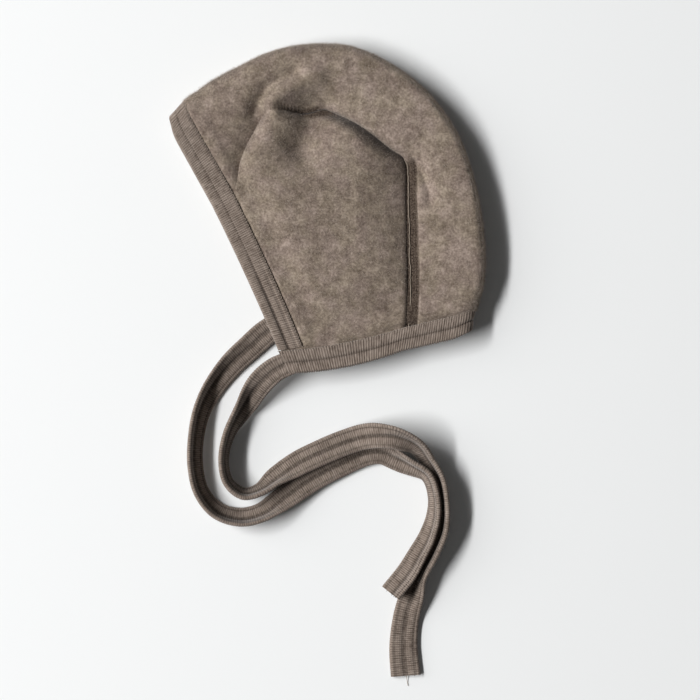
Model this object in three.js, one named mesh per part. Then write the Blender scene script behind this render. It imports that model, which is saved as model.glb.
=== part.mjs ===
import * as THREE from "three";

// Baby bonnet lying on its right side: face opening toward -X, crown toward +Y, nape toward +X.
// Millimetres, +Z up, the resting face at Z = 0.

const FLEECE = 2.4;             // thickness of the brushed fleece panels
const BAND_WIDTH = 13.6;        // width of a binding, of rib strip folded over the edge
const TIE_WIDTH = 14.6;         // width of a tie
const BAND_WALL = 1.1;          // thickness of one leg of a binding
const BAND_ROOM = 0.4;          // room between a binding's leg and the fleece it grips
const TIE_THICKNESS = 3.2;      // the strip folded to four layers
const SEAM_GAP = 0.4;           // between two panels where they are sewn together
const PIECE_GAP = 0.4;          // between a binding's end and the piece that follows it
const HALF = FLEECE / 2;
const BAND_HALF = HALF + BAND_ROOM + BAND_WALL;
const STRIP = 13;               // flat strip of fleece held inside a binding
const EDGE_LEVEL = 13;          // height of the upper face and neck edges, middle of the fleece
const SWELL_START = 15.5;       // distance from a free edge where the upper side panel starts to swell
const DOME = 4;                 // how far the upper side panel swells above its edges
const FACE_SWELL = 18;          // distance over which it swells from the face binding
const NECK_SWELL = 30;          // and from the neck binding
const BED_EASE = 9;             // distance over which the lower layer settles on its rest
const OPEN_EASE = 8;            // distance from a held strip in which a dent reaches its depth
const UNDER_ROUND = 10;         // reach of the turn under the outline fold
const ROLL_SHAPE = 0.62;        // roundness of the outline fold: 1 is an ellipse, less is fuller
const LEAST_RISE = 5.5;         // least height of the upper layer
const LEAST_SOFT = 1.2;         // softness of that limit
const CORNER_PULL = 1.8;        // how far the outline fold draws back at the face and neck edges
const CORNER_REACH = 5.5;       // distance from the fold in which it does
const SEAM_WEIGHT = 6;          // how sharply a point near two stretches of seam takes the nearer height
const SEAM_SPREAD = 0.3;        // and the distance, squared, at which both still count
const EDGE_SHARE = 0.97;        // share of a face edge that has stations of its own; the rest is the seam's
const NECK_SHARE = 0.96;        // the same along a neck edge
const FACE_INSIDE = 0.08;       // share across a side panel that sets a binding's inward direction
const NECK_INSIDE = 0.12;
const NECK_CLEAR = 0.5;         // extra room between the face binding's end and the neck binding
const MITRE_LIMIT = 1.35;       // most that a sheet's edge is stretched where two sheets meet at an angle
const MITRE_FLOOR = 0.5;        // least cosine used for that stretch

function named(columns, rows) {
  return rows.map((row) => Object.fromEntries(columns.map((name, i) => [name, row[i]])));
}

const mix = (a, b, s) => a + (b - a) * s;
const clamp01 = (s) => Math.min(1, Math.max(0, s));
const ease = (s) => clamp01(s) ** 2 * (3 - 2 * clamp01(s));
const point = (x, y, z = 0) => new THREE.Vector3(x, y, z);
const planDistance = (p, q) => Math.hypot(q.x - p.x, q.y - p.y);

// Sections of the centre panel from the face edge over the crown to the neck edge.
// edge: the lengthwise fold that makes the outline; seam: joint with the upper side panel;
// far: joint with the lower side panel; edgeRise, crest and seamRise: heights of the fold, of the
// roll's top and of the seam; crestAt: place of the top as a share of the way to the seam;
// fall: steepness beyond the top; swell and steep: distance in which the side panel rises from the
// seam, and how much of that rise lies close to it.
const SECTION_COLUMNS = [
  "edgeX", "edgeY", "seamX", "seamY", "farX", "farY",
  "edgeRise", "crest", "crestAt", "seamRise", "fall", "swell", "steep",
];
const SECTIONS = named(SECTION_COLUMNS, [
  [-85.5, 46.5, -61, 2.5, -63.5, 7, 7.85, 13, 0.4, 13, 2, 8, 3],
  [-77, 56, -50.5, 9.5, -53.5, 15.5, 7.85, 13, 0.4, 13, 2, 8, 3],
  [-67, 65, -46.5, 25.5, -45.5, 24, 7.2, 14.2, 0.3, 9.2, 2.6, 9, 3],
  [-56.5, 71.5, -40, 40, -38, 32, 6.6, 14.8, 0.28, 8.2, 2.8, 9, 3],
  [-44.5, 77.5, -34, 49.8, -31, 38, 6, 15, 0.28, 9, 2.8, 9, 3],
  [-33, 83, -29, 54.3, -23, 41.5, 5.6, 15.4, 0.28, 13.4, 2.2, 10, 3],
  [-19, 87, -22.2, 52.9, -14.5, 44, 5.5, 15.6, 0.28, 10.8, 2.6, 9, 2.4],
  [-3, 88.5, -11, 52.2, -3.5, 45, 5.5, 15.8, 0.28, 6.2, 3.2, 8.5, 1.8],
  [13.5, 87, 0.6, 54.3, 9.5, 43.5, 5.5, 16.2, 0.25, 6.2, 5, 8, 1.5],
  [34, 78, 18.3, 46.3, 22, 37.5, 5.7, 16.2, 0.24, 6.2, 5, 8.5, 1.5],
  [55.5, 61, 35, 33.5, 32, 27.5, 6.2, 16.5, 0.22, 6.4, 4.2, 11.5, 1.6],
  [70.5, 39.5, 43.2, 26.2, 37.5, 16.5, 6.8, 16.8, 0.2, 8, 2.4, 24, 2],
  [80.5, 10.5, 44, 2.5, 40, -3, 7.2, 16.8, 0.18, 10.4, 1.7, 28, 1.7],
  [85, -19.5, 44.4, -21, 41, -22, 7.2, 16.4, 0.18, 11.2, 1.6, 24, 1.7],
  [84.5, -41.5, 44.6, -42.5, 40.5, -40.5, 7.2, 15.6, 0.2, 13.4, 1.5, 12, 2],
  [79, -56, 43.8, -63.5, 37.5, -58, 7.85, 13.4, 0.4, 13, 2, 10, 2],
  [77, -68.5, 41.8, -76.5, 32, -69, 7.85, 13, 0.4, 13, 2, 10, 2],
]);
const FACE_STRIP_END = 1;       // row where the face binding's strip ends
const CORNER = 11;              // row where the seam turns from the crown to the nape
const NECK_STRIP_START = 15;    // row where the neck binding's strip starts

// Chin corners of the side panels and the bow of their free edges, outward positive.
const NEAR_SIDE = { chinX: -19.8, chinY: -88.8, faceBow: -1, neckBow: 2.6 };
const FAR_SIDE = { chinX: -18.5, chinY: -65, faceBow: 0, neckBow: 1 };

// Soft dents of the upper side, each along a line; a negative depth is a ridge.
const DENTS = [
  { reach: 11, depth: 9.2, line: [
    point(-5, 51.5), point(-7.5, 43.5), point(-12, 34.5),
  ] },
  { reach: 4.2, depth: 3, line: [
    point(-39.2, 52.5), point(-36.2, 59.2), point(-32.8, 64), point(-25.8, 69.2), point(-17, 73.5),
  ] },
  { reach: 5.5, depth: -3, line: [
    point(-29.5, 58.5), point(-24.7, 63.7), point(-18, 67.5), point(-10.6, 70.5), point(-5.5, 71),
  ] },
  { reach: 3, depth: 2.2, line: [
    point(49.5, 24.5), point(53.5, 18), point(56.2, 10.5), point(57, 3),
  ] },
];

// Ties as they lie: the middle line, the lean of the strip (positive: right-hand edge up) and the
// height of its lower edge above the rest.
const TIE_COLUMNS = ["x", "y", "lean", "lift"];
const LEFT_TIE = named(TIE_COLUMNS, [
  [-24.2, -86.3, 1, 11.2],
  [-27.5, -87.8, 4, 10.5],
  [-34.5, -93.5, 14, 8.5],
  [-41.5, -101.5, 32, 5],
  [-48.5, -111.5, 54, 1.5],
  [-54, -123.2, 70, 0],
  [-56.5, -137, 76, 0],
  [-54, -149.5, 76, 0],
  [-45.5, -156.5, 72, 0],
  [-35.5, -154.5, 66, 0],
  [-25.5, -147.5, 44, 0],
  [-14.5, -139.3, 20, 1.8],
  [-0.5, -132.3, 8, 3.4],
  [10.5, -127.8, 3, 3.9],
  [21.5, -124.4, -6, 5.8],
  [31, -123.5, -20, 9.8],
  [39.5, -124, -36, 10.6],
  [49.8, -128.2, -54, 5.8],
  [57, -137.2, -62, 0],
  [63.2, -148, -76, 0],
  [65.5, -162.5, -78, 0],
  [64.6, -176, -70, 0],
  [59.2, -189, -58, 0],
  [52, -201, -44, 0],
  [47.4, -212, -20, 0],
  [44, -224, -3, 0],
  [42.5, -239.5, 0, 0],
  [43.7, -256, 0, 0],
]);
const RIGHT_TIE = named(TIE_COLUMNS, [
  [-22.5, -60.9, 0, 1.1],
  [-26.3, -62.9, 2, 1],
  [-33.5, -68, 6, 0.3],
  [-42, -75.5, 14, 0],
  [-54, -86, 28, 0],
  [-64, -98, 42, 0],
  [-70, -110.5, 54, 0],
  [-72.8, -125.5, 60, 0],
  [-73, -141, 62, 0],
  [-69.5, -155.5, 62, 0],
  [-60.2, -166.7, 58, 0],
  [-46.5, -170.7, 52, 0],
  [-33, -167.2, 46, 0],
  [-21, -157.3, 20, 0],
  [-7, -147.5, 6, 0],
  [10.5, -138.5, 0, 0],
  [22, -133.7, -3, 0],
  [31, -132.8, -22, 0],
  [38.5, -135.6, -37, 0],
  [46.9, -139.6, -55, 0],
  [56, -145.5, -68, 0],
  [60, -156.9, -70, 0],
  [60.2, -168.5, -64, 0],
  [57, -180.2, -56, 0],
  [51.9, -190, -50, 0.5],
  [46, -200, -45, 1],
  [36.8, -211.5, -46, 2],
]);

const CROWN_STEPS = 24;         // mesh steps from the face strip to the corner
const NAPE_STEPS = 9;           // mesh steps from the corner to the neck strip
const FALL_STEPS = 6;           // mesh steps across the strip: beyond the roll's top
const ROLL_STEPS = 6;           //   from the top to the outline
const UNDER_STEPS = 4;          //   round under the outline
const FLAT_STEPS = 3;           //   along the rest
const HELD_ROWS = 2;            // sections at each end that lie inside a binding
const FACE_STATIONS = 9;        // mesh steps of a binding along a side panel's face edge
const NECK_STATIONS = 8;        // and along its neck edge
const TIE_STEPS = 50;           // mesh steps along a tie
const FALL_SPACING = 0.75;      // mesh steps of the fall drawn together toward the seam
const TANGENT_STEP = 0.5;       // half the length over which a tie's direction is taken

// Running lengths of a list, from a measure of neighbouring entries.
function runningLengths(list, measure) {
  const sums = [0];
  for (let i = 1; i < list.length; i += 1) sums.push(sums[i - 1] + measure(list[i - 1], list[i]));
  return sums;
}

// Smooth curve through the rows of a table; every column is read at a running length.
function through(rows, knots) {
  const last = rows.length - 1;
  const slope = (name, k) => {
    const a = Math.max(k - 1, 0);
    const b = Math.min(k + 1, last);
    return (rows[b][name] - rows[a][name]) / (knots[b] - knots[a]);
  };
  return (at) => {
    let i = 0;
    while (i < last - 1 && knots[i + 1] < at) i += 1;
    const span = knots[i + 1] - knots[i];
    const s = (at - knots[i]) / span;
    const values = {};
    for (const name of Object.keys(rows[0])) {
      const rise = slope(name, i) * span * s * (1 - s) ** 2 - slope(name, i + 1) * span * s * s * (1 - s);
      values[name] = mix(rows[i][name], rows[i + 1][name], s * s * (3 - 2 * s)) + rise;
    }
    return values;
  };
}

// Nearest distance from a plan point to a polyline, with the place of that nearest point.
function toPolyline(line, x, y, visit) {
  let best = Infinity;
  for (let i = 0; i + 1 < line.length; i += 1) {
    const ax = line[i].x;
    const ay = line[i].y;
    const dx = line[i + 1].x - ax;
    const dy = line[i + 1].y - ay;
    const s = clamp01(((x - ax) * dx + (y - ay) * dy) / (dx * dx + dy * dy));
    const distance = Math.hypot(x - ax - dx * s, y - ay - dy * s);
    if (visit) visit(i, s, distance);
    best = Math.min(best, distance);
  }
  return best;
}

// Free edge between two points, bowed to its right-hand side.
function bowedEdge(from, to, bow, share) {
  const along = to.clone().sub(from);
  const across = point(along.y, -along.x).normalize();
  return from.clone().addScaledVector(along, share).addScaledVector(across, 4 * bow * share * (1 - share));
}

const sectionKnots = runningLengths(SECTIONS, (p, q) =>
  Math.hypot(q.edgeX - p.edgeX, q.edgeY - p.edgeY) + Math.hypot(q.seamX - p.seamX, q.seamY - p.seamY));
const sectionAt = through(SECTIONS, sectionKnots);

// Places along the centre panel where its mesh has a section.
const places = [0];
for (let i = 0; i <= CROWN_STEPS; i += 1) {
  places.push(mix(sectionKnots[FACE_STRIP_END], sectionKnots[CORNER], i / CROWN_STEPS));
}
for (let i = 1; i <= NAPE_STEPS; i += 1) {
  places.push(mix(sectionKnots[CORNER], sectionKnots[NECK_STRIP_START], i / NAPE_STEPS));
}
places.push(sectionKnots[SECTIONS.length - 1]);
const sections = places.map(sectionAt);
const cornerIndex = 1 + CROWN_STEPS;

// Edges of the lower layer, from the outline to the far chin corner.
const first = sections[0];
const final = sections[sections.length - 1];
const farChin = point(FAR_SIDE.chinX, FAR_SIDE.chinY);
const farFaceEdge = [point(first.edgeX, first.edgeY), point(first.farX, first.farY), farChin];
const farNeckEdge = [point(final.edgeX, final.edgeY), point(final.farX, final.farY)];
for (let i = 1; i <= NECK_STATIONS; i += 1) {
  farNeckEdge.push(bowedEdge(farNeckEdge[1], farChin, -FAR_SIDE.neckBow, i / NECK_STATIONS));
}

// Height of the lower layer: on the rest, and lifted by a binding's leg along its free edges.
function bed(x, y) {
  const away = Math.min(toPolyline(farFaceEdge, x, y), toPolyline(farNeckEdge, x, y));
  return HALF + (BAND_HALF - HALF) * (1 - ease((away - STRIP) / BED_EASE));
}

function dentDepth(x, y) {
  let depth = 0;
  for (const dent of DENTS) {
    depth += dent.depth * Math.exp(-((toPolyline(dent.line, x, y) / dent.reach) ** 2));
  }
  return depth;
}

// Height held softly above the lower layer.
function aboveLeast(z) {
  return LEAST_RISE + LEAST_SOFT * Math.log1p(Math.exp((z - LEAST_RISE) / LEAST_SOFT));
}

// One section of the centre panel, from the upper seam over the roll and round to the lower seam.
function sectionPoints(section, held) {
  const edge = point(section.edgeX, section.edgeY);
  const inward = point(section.seamX, section.seamY).sub(edge);
  const under = point(section.farX, section.farY).sub(edge);
  const line = [];
  for (let i = 0; i < FALL_STEPS; i += 1) {
    const s = (1 - i / FALL_STEPS) ** FALL_SPACING;
    const p = edge.clone().addScaledVector(inward, mix(section.crestAt, 1, s));
    line.push(p.setZ(mix(section.crest, section.seamRise, s ** section.fall)));
  }
  for (let i = 0; i < ROLL_STEPS; i += 1) {
    const turn = (1 - i / ROLL_STEPS) * Math.PI / 2;
    const p = edge.clone().addScaledVector(inward, section.crestAt * (1 - Math.cos(turn) ** ROLL_SHAPE));
    line.push(p.setZ(mix(section.edgeRise, section.crest, Math.sin(turn) ** ROLL_SHAPE)));
  }
  for (const p of line) p.z = aboveLeast(held ? p.z : p.z - dentDepth(p.x, p.y));
  const round = UNDER_ROUND / under.length();
  for (let i = 0; i < UNDER_STEPS; i += 1) {
    const turn = i / UNDER_STEPS * Math.PI / 2;
    const p = edge.clone().addScaledVector(under, round * (1 - Math.cos(turn)));
    line.push(p.setZ(mix(section.edgeRise, bed(p.x, p.y), Math.sin(turn))));
  }
  for (let i = 0; i <= FLAT_STEPS; i += 1) {
    const p = edge.clone().addScaledVector(under, mix(round, 1, i / FLAT_STEPS));
    line.push(p.setZ(bed(p.x, p.y)));
  }
  return line;
}

// End of the centre panel drawn back round the outline fold, toward the row inside it.
function roundEnd(end, inside) {
  const across = runningLengths(end, (p, q) => p.distanceTo(q));
  end.forEach((p, j) => {
    const away = across[j] - across[FALL_STEPS + ROLL_STEPS];
    const pull = CORNER_PULL * Math.exp(-((away / CORNER_REACH) ** 2));
    p.addScaledVector(inside[j].clone().sub(p).normalize(), pull);
  });
}

const isHeld = (i) => i < HELD_ROWS || i >= sections.length - HELD_ROWS;
const centreGrid = sections.map((section, i) => sectionPoints(section, isHeld(i)));
const finalRow = centreGrid.length - 1;
roundEnd(centreGrid[0], centreGrid[1]);
roundEnd(centreGrid[finalRow], centreGrid[finalRow - 1]);

// Plan of a side panel between its seam, its face edge and its neck edge, by shares across and up.
function sidePlan(side, xName, yName) {
  const seam = sections.map((section) => {
    const p = point(section[xName], section[yName]);
    const away = p.clone().sub(point(section.edgeX, section.edgeY)).normalize();
    return p.addScaledVector(away, SEAM_GAP);
  });
  const chin = point(side.chinX, side.chinY);
  const top = seam.slice(0, cornerIndex + 1);
  const right = seam.slice(cornerIndex).reverse();
  const shares = (line) => {
    const lengths = runningLengths(line, planDistance);
    return lengths.map((length) => length / lengths[lengths.length - 1]);
  };
  const across = shares(top);
  const up = shares(right);
  const along = (line, marks, share) => {
    let i = 0;
    while (i < line.length - 2 && marks[i + 1] < share) i += 1;
    return line[i].clone().lerp(line[i + 1], (share - marks[i]) / (marks[i + 1] - marks[i]));
  };
  const neckEdge = (a) => bowedEdge(chin, right[0], side.neckBow, a);
  const faceEdge = (b) => bowedEdge(chin, top[0], -side.faceBow, b);
  const at = (a, b) => {
    const p = neckEdge(a).multiplyScalar(1 - b).addScaledVector(along(top, across, a), b);
    p.addScaledVector(faceEdge(b), 1 - a).addScaledVector(along(right, up, b), a);
    p.addScaledVector(chin, -(1 - a) * (1 - b)).addScaledVector(right[0], -a * (1 - b));
    return p.addScaledVector(top[0], -(1 - a) * b).addScaledVector(top[top.length - 1], -a * b);
  };
  const grid = up.map((b) => across.map((a) => at(a, b)));
  return { at, grid, face: up.map(faceEdge), neck: across.map(neckEdge) };
}

const near = sidePlan(NEAR_SIDE, "seamX", "seamY");
const far = sidePlan(FAR_SIDE, "farX", "farY");

// Upper side panel: flat in the bindings, swelling between them, sinking into the seam.
const seamLine = sections.map((section) => point(section.seamX, section.seamY, section.seamRise));
for (const p of near.grid.flat()) {
  const fromFace = toPolyline(near.face, p.x, p.y);
  const fromNeck = toPolyline(near.neck, p.x, p.y);
  const swelling = ease((fromFace - SWELL_START) / FACE_SWELL) * ease((fromNeck - SWELL_START) / NECK_SWELL);
  let sink = 0;
  let weightSum = 0;
  let heightSum = 0;
  toPolyline(seamLine, p.x, p.y, (i, s, distance) => {
    const inner = 1 - clamp01(distance / mix(sections[i].swell, sections[i + 1].swell, s));
    const close = inner ** mix(sections[i].steep, sections[i + 1].steep, s);
    const weight = close ** SEAM_WEIGHT / (SEAM_SPREAD + distance * distance);
    sink = Math.max(sink, close);
    weightSum += weight;
    heightSum += weight * mix(seamLine[i].z, seamLine[i + 1].z, s);
  });
  const level = EDGE_LEVEL + DOME * swelling;
  const seamHeight = weightSum > 0 ? heightSum / weightSum : level;
  const open = ease((fromFace - STRIP) / OPEN_EASE) * ease((fromNeck - STRIP) / OPEN_EASE);
  p.z = aboveLeast(mix(level, seamHeight, sink) - dentDepth(p.x, p.y) * open);
}
for (const p of far.grid.flat()) p.z = bed(p.x, p.y);

// Normals of a sheet's mesh, from its neighbouring points.
function sheetNormals(grid) {
  return grid.map((row, i) => row.map((p, j) => {
    const along = grid[Math.min(i + 1, grid.length - 1)][j].clone().sub(grid[Math.max(i - 1, 0)][j]);
    const across = row[Math.min(j + 1, row.length - 1)].clone().sub(row[Math.max(j - 1, 0)]);
    return along.cross(across).normalize();
  }));
}

// Shared normal where two sheets are sewn together, so that their edges stand face to face.
function meet(normalsA, a, normalsB, b) {
  const nA = normalsA[a[0]][a[1]];
  const nB = normalsB[b[0]][b[1]];
  const shared = nA.clone().add(nB).normalize();
  const stretch = Math.min(MITRE_LIMIT, 1 / Math.max(MITRE_FLOOR, shared.dot(nA)));
  nA.copy(shared).multiplyScalar(stretch);
  nB.copy(shared).multiplyScalar(stretch);
}

// Closed solid of a sheet: its mesh moved half the thickness to both sides, joined round the rim.
function sheetSolid(grid, normals, thickness) {
  const rows = grid.length;
  const columns = grid[0].length;
  const positions = [];
  for (const side of [1, -1]) {
    grid.forEach((row, i) => row.forEach((p, j) => {
      positions.push(...p.clone().addScaledVector(normals[i][j], side * thickness / 2).toArray());
    }));
  }
  const index = [];
  const under = rows * columns;
  const at = (i, j) => i * columns + j;
  for (let i = 0; i + 1 < rows; i += 1) {
    for (let j = 0; j + 1 < columns; j += 1) {
      const [a, b, c, d] = [at(i, j), at(i + 1, j), at(i + 1, j + 1), at(i, j + 1)];
      index.push(a, b, c, a, c, d);
      index.push(under + a, under + c, under + b, under + a, under + d, under + c);
    }
  }
  const rim = [];
  for (let i = 0; i < rows - 1; i += 1) rim.push(at(i, 0));
  for (let j = 0; j < columns - 1; j += 1) rim.push(at(rows - 1, j));
  for (let i = rows - 1; i > 0; i -= 1) rim.push(at(i, columns - 1));
  for (let j = columns - 1; j > 0; j -= 1) rim.push(at(0, j));
  rim.forEach((a, k) => {
    const b = rim[(k + 1) % rim.length];
    index.push(a, under + a, under + b, a, under + b, b);
  });
  return outward(positions, index);
}

// Closed solid swept through sections of equal point count.
function sweptSolid(rings) {
  const count = rings[0].length;
  const positions = rings.flat().flatMap((p) => p.toArray());
  const index = [];
  for (let i = 0; i + 1 < rings.length; i += 1) {
    for (let j = 0; j < count; j += 1) {
      const a = i * count + j;
      const b = i * count + (j + 1) % count;
      index.push(a, b, b + count, a, b + count, a + count);
    }
  }
  return { positions, index, count, rings: rings.length };
}

// Triangles turned so that the solid's volume is positive.
function outward(positions, index) {
  const geometry = new THREE.BufferGeometry();
  geometry.setAttribute("position", new THREE.Float32BufferAttribute(positions, 3));
  let volume = 0;
  const corner = (k) => new THREE.Vector3().fromArray(positions, 3 * index[k]);
  for (let k = 0; k < index.length; k += 3) volume += corner(k).dot(corner(k + 1).cross(corner(k + 2)));
  if (volume < 0) {
    for (let k = 0; k < index.length; k += 3) [index[k], index[k + 1]] = [index[k + 1], index[k]];
  }
  geometry.setIndex(index);
  geometry.computeVertexNormals();
  return geometry;
}

// Ends of a swept solid, closed by triangles between the given corners of the section.
function closeEnds(solid, capTriangles) {
  const last = (solid.rings - 1) * solid.count;
  for (const [a, b, c] of capTriangles) {
    solid.index.push(a, c, b);
    solid.index.push(last + a, last + b, last + c);
  }
  return outward(solid.positions, solid.index);
}

// Section of a binding in its own plane: s runs inward from the fleece edge, n away from the fleece.
// Two padded bands lie side by side on each face, with a sewn groove between them.
const slot = HALF + BAND_ROOM;
const tip = BAND_WIDTH - BAND_ROOM - BAND_WALL;
const HEM_HEIGHT = 0.45;        // thickness of a binding's inner edge
const GROOVE_DEPTH = 0.45;      // depth of the sewn groove
const FOLD_START = -0.6;        // where the fold starts to turn over the fleece edge
const FOLD_DROP = 0.7;          // how far it has come down there
const innerBand = tip - 3;      // tops of the two bands and the groove between them
const groove = tip - 7;
const outerBand = tip - 10;
const BINDING_SECTION = [
  [tip, slot + HEM_HEIGHT], [innerBand, BAND_HALF],
  [groove, BAND_HALF - GROOVE_DEPTH], [outerBand, BAND_HALF],
  [FOLD_START, BAND_HALF - FOLD_DROP], [-BAND_ROOM - BAND_WALL, 0], [FOLD_START, FOLD_DROP - BAND_HALF],
  [outerBand, -BAND_HALF], [groove, GROOVE_DEPTH - BAND_HALF], [innerBand, -BAND_HALF],
  [tip, -slot - HEM_HEIGHT], [tip, -slot],
  [-BAND_ROOM, -slot], [-BAND_ROOM, slot], [tip, slot],
];
const BINDING_CAP = [
  [0, 1, 14], [1, 2, 14], [2, 13, 14], [2, 3, 13], [3, 4, 13], [4, 5, 13], [5, 12, 13],
  [5, 6, 12], [6, 7, 12], [7, 8, 12], [8, 11, 12], [8, 9, 11], [9, 10, 11],
];

// Binding folded over a fleece edge, from stations with a point, an inward direction and a normal.
function binding(stations) {
  const rings = stations.map(({ at, inward, normal }) => BINDING_SECTION.map(([s, n]) =>
    at.clone().addScaledVector(inward, s).addScaledVector(normal, n)));
  return closeEnds(sweptSolid(rings), BINDING_CAP);
}

function station(at, inside, up) {
  const inward = inside.clone().sub(at).normalize();
  const normal = up.clone().addScaledVector(inward, -up.dot(inward)).normalize();
  return { at: at.clone(), inward, normal };
}

const UP = point(0, 0, 1);
const DOWN = point(0, 0, -1);

function facing(grid, up) {
  const normals = sheetNormals(grid);
  if (normals[FALL_STEPS][FALL_STEPS].dot(up) < 0) normals.flat().forEach((n) => n.negate());
  return normals;
}
const centreNormals = facing(centreGrid, UP);
const nearNormals = facing(near.grid, UP);
const farNormals = facing(far.grid, DOWN);

// Stations along the free edges of a side panel, held flat, and across an end of the centre panel.
function sideStation(side, edge, inside, z, up) {
  const inner = side.at(...inside).setZ(z);
  return station(side.at(...edge).setZ(z), inner, up);
}
function evenShares(count, from, to) {
  return Array.from({ length: count + 1 }, (unused, i) => mix(from, to, i / count));
}
function faceStations(side, z, up) {
  const start = (tip + PIECE_GAP + NECK_CLEAR) / planDistance(side.at(0, 0), side.at(0, 1));
  const shares = evenShares(FACE_STATIONS, start, EDGE_SHARE);
  return shares.map((b) => sideStation(side, [0, b], [FACE_INSIDE, b], z, up));
}
function neckStations(side, z, up) {
  const shares = evenShares(NECK_STATIONS, 0, NECK_SHARE);
  const list = shares.map((a) => sideStation(side, [a, 0], [a, NECK_INSIDE], z, up));
  const beyond = list[0].at.clone().sub(list[1].at).setLength(BAND_ROOM + BAND_WALL);
  const start = { at: list[0].at.clone().add(beyond), inward: list[0].inward, normal: list[0].normal };
  return [start, ...list];
}
function endStations(i, inside) {
  return centreGrid[i].map((p, j) => station(p, centreGrid[inside][j], centreNormals[i][j]));
}
const lowLevel = BAND_HALF;
const faceLine = [
  ...faceStations(near, EDGE_LEVEL, UP),
  ...endStations(0, 1),
  ...faceStations(far, lowLevel, DOWN).reverse(),
];
const neckLine = [
  ...neckStations(near, EDGE_LEVEL, UP),
  ...endStations(finalRow, finalRow - 1),
  ...neckStations(far, lowLevel, DOWN).reverse(),
];

// Sewn seams: the upper and the lower one, each shared by the centre panel and a side panel.
sections.forEach((section, i) => {
  const onTop = i <= cornerIndex;
  const place = onTop ? [near.grid.length - 1, i] : [finalRow - i, near.grid[0].length - 1];
  meet(centreNormals, [i, 0], nearNormals, place);
  meet(centreNormals, [i, centreGrid[0].length - 1], farNormals, place);
});

// Flat tie with rounded edges and a shallow middle groove, swept along its route.
const TIE_SECTION = [
  [0.5, 0.2], [0.42, 0.5], [0, 0.38], [-0.42, 0.5], [-0.5, 0.2],
  [-0.5, -0.2], [-0.42, -0.5], [0, -0.38], [0.42, -0.5], [0.5, -0.2],
];
const TIE_CAP = [[0, 1, 9], [1, 8, 9], [1, 2, 8], [2, 7, 8], [2, 3, 7], [3, 6, 7], [3, 4, 6], [4, 5, 6]];

function tie(route) {
  const knots = runningLengths(route, planDistance);
  const length = knots[knots.length - 1];
  const routeAt = through(route, knots);
  const spot = (run) => {
    const row = routeAt(Math.min(length, Math.max(0, run)));
    const lean = THREE.MathUtils.degToRad(row.lean);
    const half = Math.abs(Math.sin(lean)) * TIE_WIDTH / 2 + Math.abs(Math.cos(lean)) * TIE_THICKNESS / 2;
    return { at: point(row.x, row.y, Math.max(0, row.lift) + half), lean };
  };
  const rings = [];
  for (let i = 0; i <= TIE_STEPS; i += 1) {
    const run = length * i / TIE_STEPS;
    const { at, lean } = spot(run);
    const along = spot(run + TANGENT_STEP).at.sub(spot(run - TANGENT_STEP).at).normalize();
    const wide = point(along.y, -along.x).setLength(Math.cos(lean)).addScaledVector(UP, Math.sin(lean));
    wide.addScaledVector(along, -wide.dot(along)).normalize();
    const thick = wide.clone().cross(along);
    rings.push(TIE_SECTION.map(([w, t]) =>
      at.clone().addScaledVector(wide, w * TIE_WIDTH).addScaledVector(thick, t * TIE_THICKNESS)));
  }
  return closeEnds(sweptSolid(rings), TIE_CAP);
}

const group = new THREE.Group();
group.name = "baby_bonnet";

function add(name, geometry, colour, roughness) {
  const material = new THREE.MeshStandardMaterial({ color: colour, roughness, metalness: 0 });
  material.name = name;
  const mesh = new THREE.Mesh(geometry, material);
  mesh.name = name;
  group.add(mesh);
}

add("centre_panel", sheetSolid(centreGrid, centreNormals, FLEECE), 0x8e8276, 0.95);
add("left_side_panel", sheetSolid(near.grid, nearNormals, FLEECE), 0x86796d, 0.95);
add("right_side_panel", sheetSolid(far.grid, farNormals, FLEECE), 0x86796d, 0.95);
add("face_binding", binding(faceLine), 0x857970, 0.9);
add("neck_binding", binding(neckLine), 0x7c7066, 0.9);
add("left_tie", tie(LEFT_TIE), 0x7a6e65, 0.9);
add("right_tie", tie(RIGHT_TIE), 0x7a6e65, 0.9);

export default group;
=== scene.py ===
import math

import bpy
import numpy as np
from bpy.props import FloatProperty, FloatVectorProperty, IntProperty, PointerProperty
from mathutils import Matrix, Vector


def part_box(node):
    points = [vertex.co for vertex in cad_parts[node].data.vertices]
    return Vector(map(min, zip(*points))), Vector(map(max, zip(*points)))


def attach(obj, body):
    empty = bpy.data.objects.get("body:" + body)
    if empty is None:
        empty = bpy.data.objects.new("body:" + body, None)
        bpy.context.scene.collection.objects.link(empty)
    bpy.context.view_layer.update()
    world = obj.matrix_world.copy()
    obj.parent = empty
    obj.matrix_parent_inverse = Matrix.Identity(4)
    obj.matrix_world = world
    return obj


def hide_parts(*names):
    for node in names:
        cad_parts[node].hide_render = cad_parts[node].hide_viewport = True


bl_info = {
    "name": "Baby Bonnet",
    "version": (1, 0, 0),
    "blender": (4, 5, 0),
    "location": "3D View > Sidebar > Bonnet",
    "description": "Brushed wool bonnet with rib-knit bindings and ties, lying on its side",
    "category": "Add Mesh",
}

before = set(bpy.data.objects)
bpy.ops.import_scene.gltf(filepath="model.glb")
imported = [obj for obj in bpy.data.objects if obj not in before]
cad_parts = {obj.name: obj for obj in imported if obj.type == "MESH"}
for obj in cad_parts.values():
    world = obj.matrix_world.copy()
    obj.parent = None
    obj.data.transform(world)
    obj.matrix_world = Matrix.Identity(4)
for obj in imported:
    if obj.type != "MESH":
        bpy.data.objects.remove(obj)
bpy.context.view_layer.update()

# Metres, +Z up, in the frame of the solids: face opening toward -X, crown toward +Y, nape toward +X.
HALF = 0.0012             # half the thickness of the fleece
TIE_WIDTH = 0.0146        # width of a tie
BAND_HALF = 0.0027        # half the thickness of a binding with the fleece inside it
SLOT = 0.0016             # half the slot between a binding's legs
TIP = 0.0121              # reach of a binding's legs from the fleece edge
TIP_ROUND = 0.0024        # width of the slope at the tip of a leg
HEM_AT = 0.0118           # place of the light hem stitches on a leg
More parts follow.
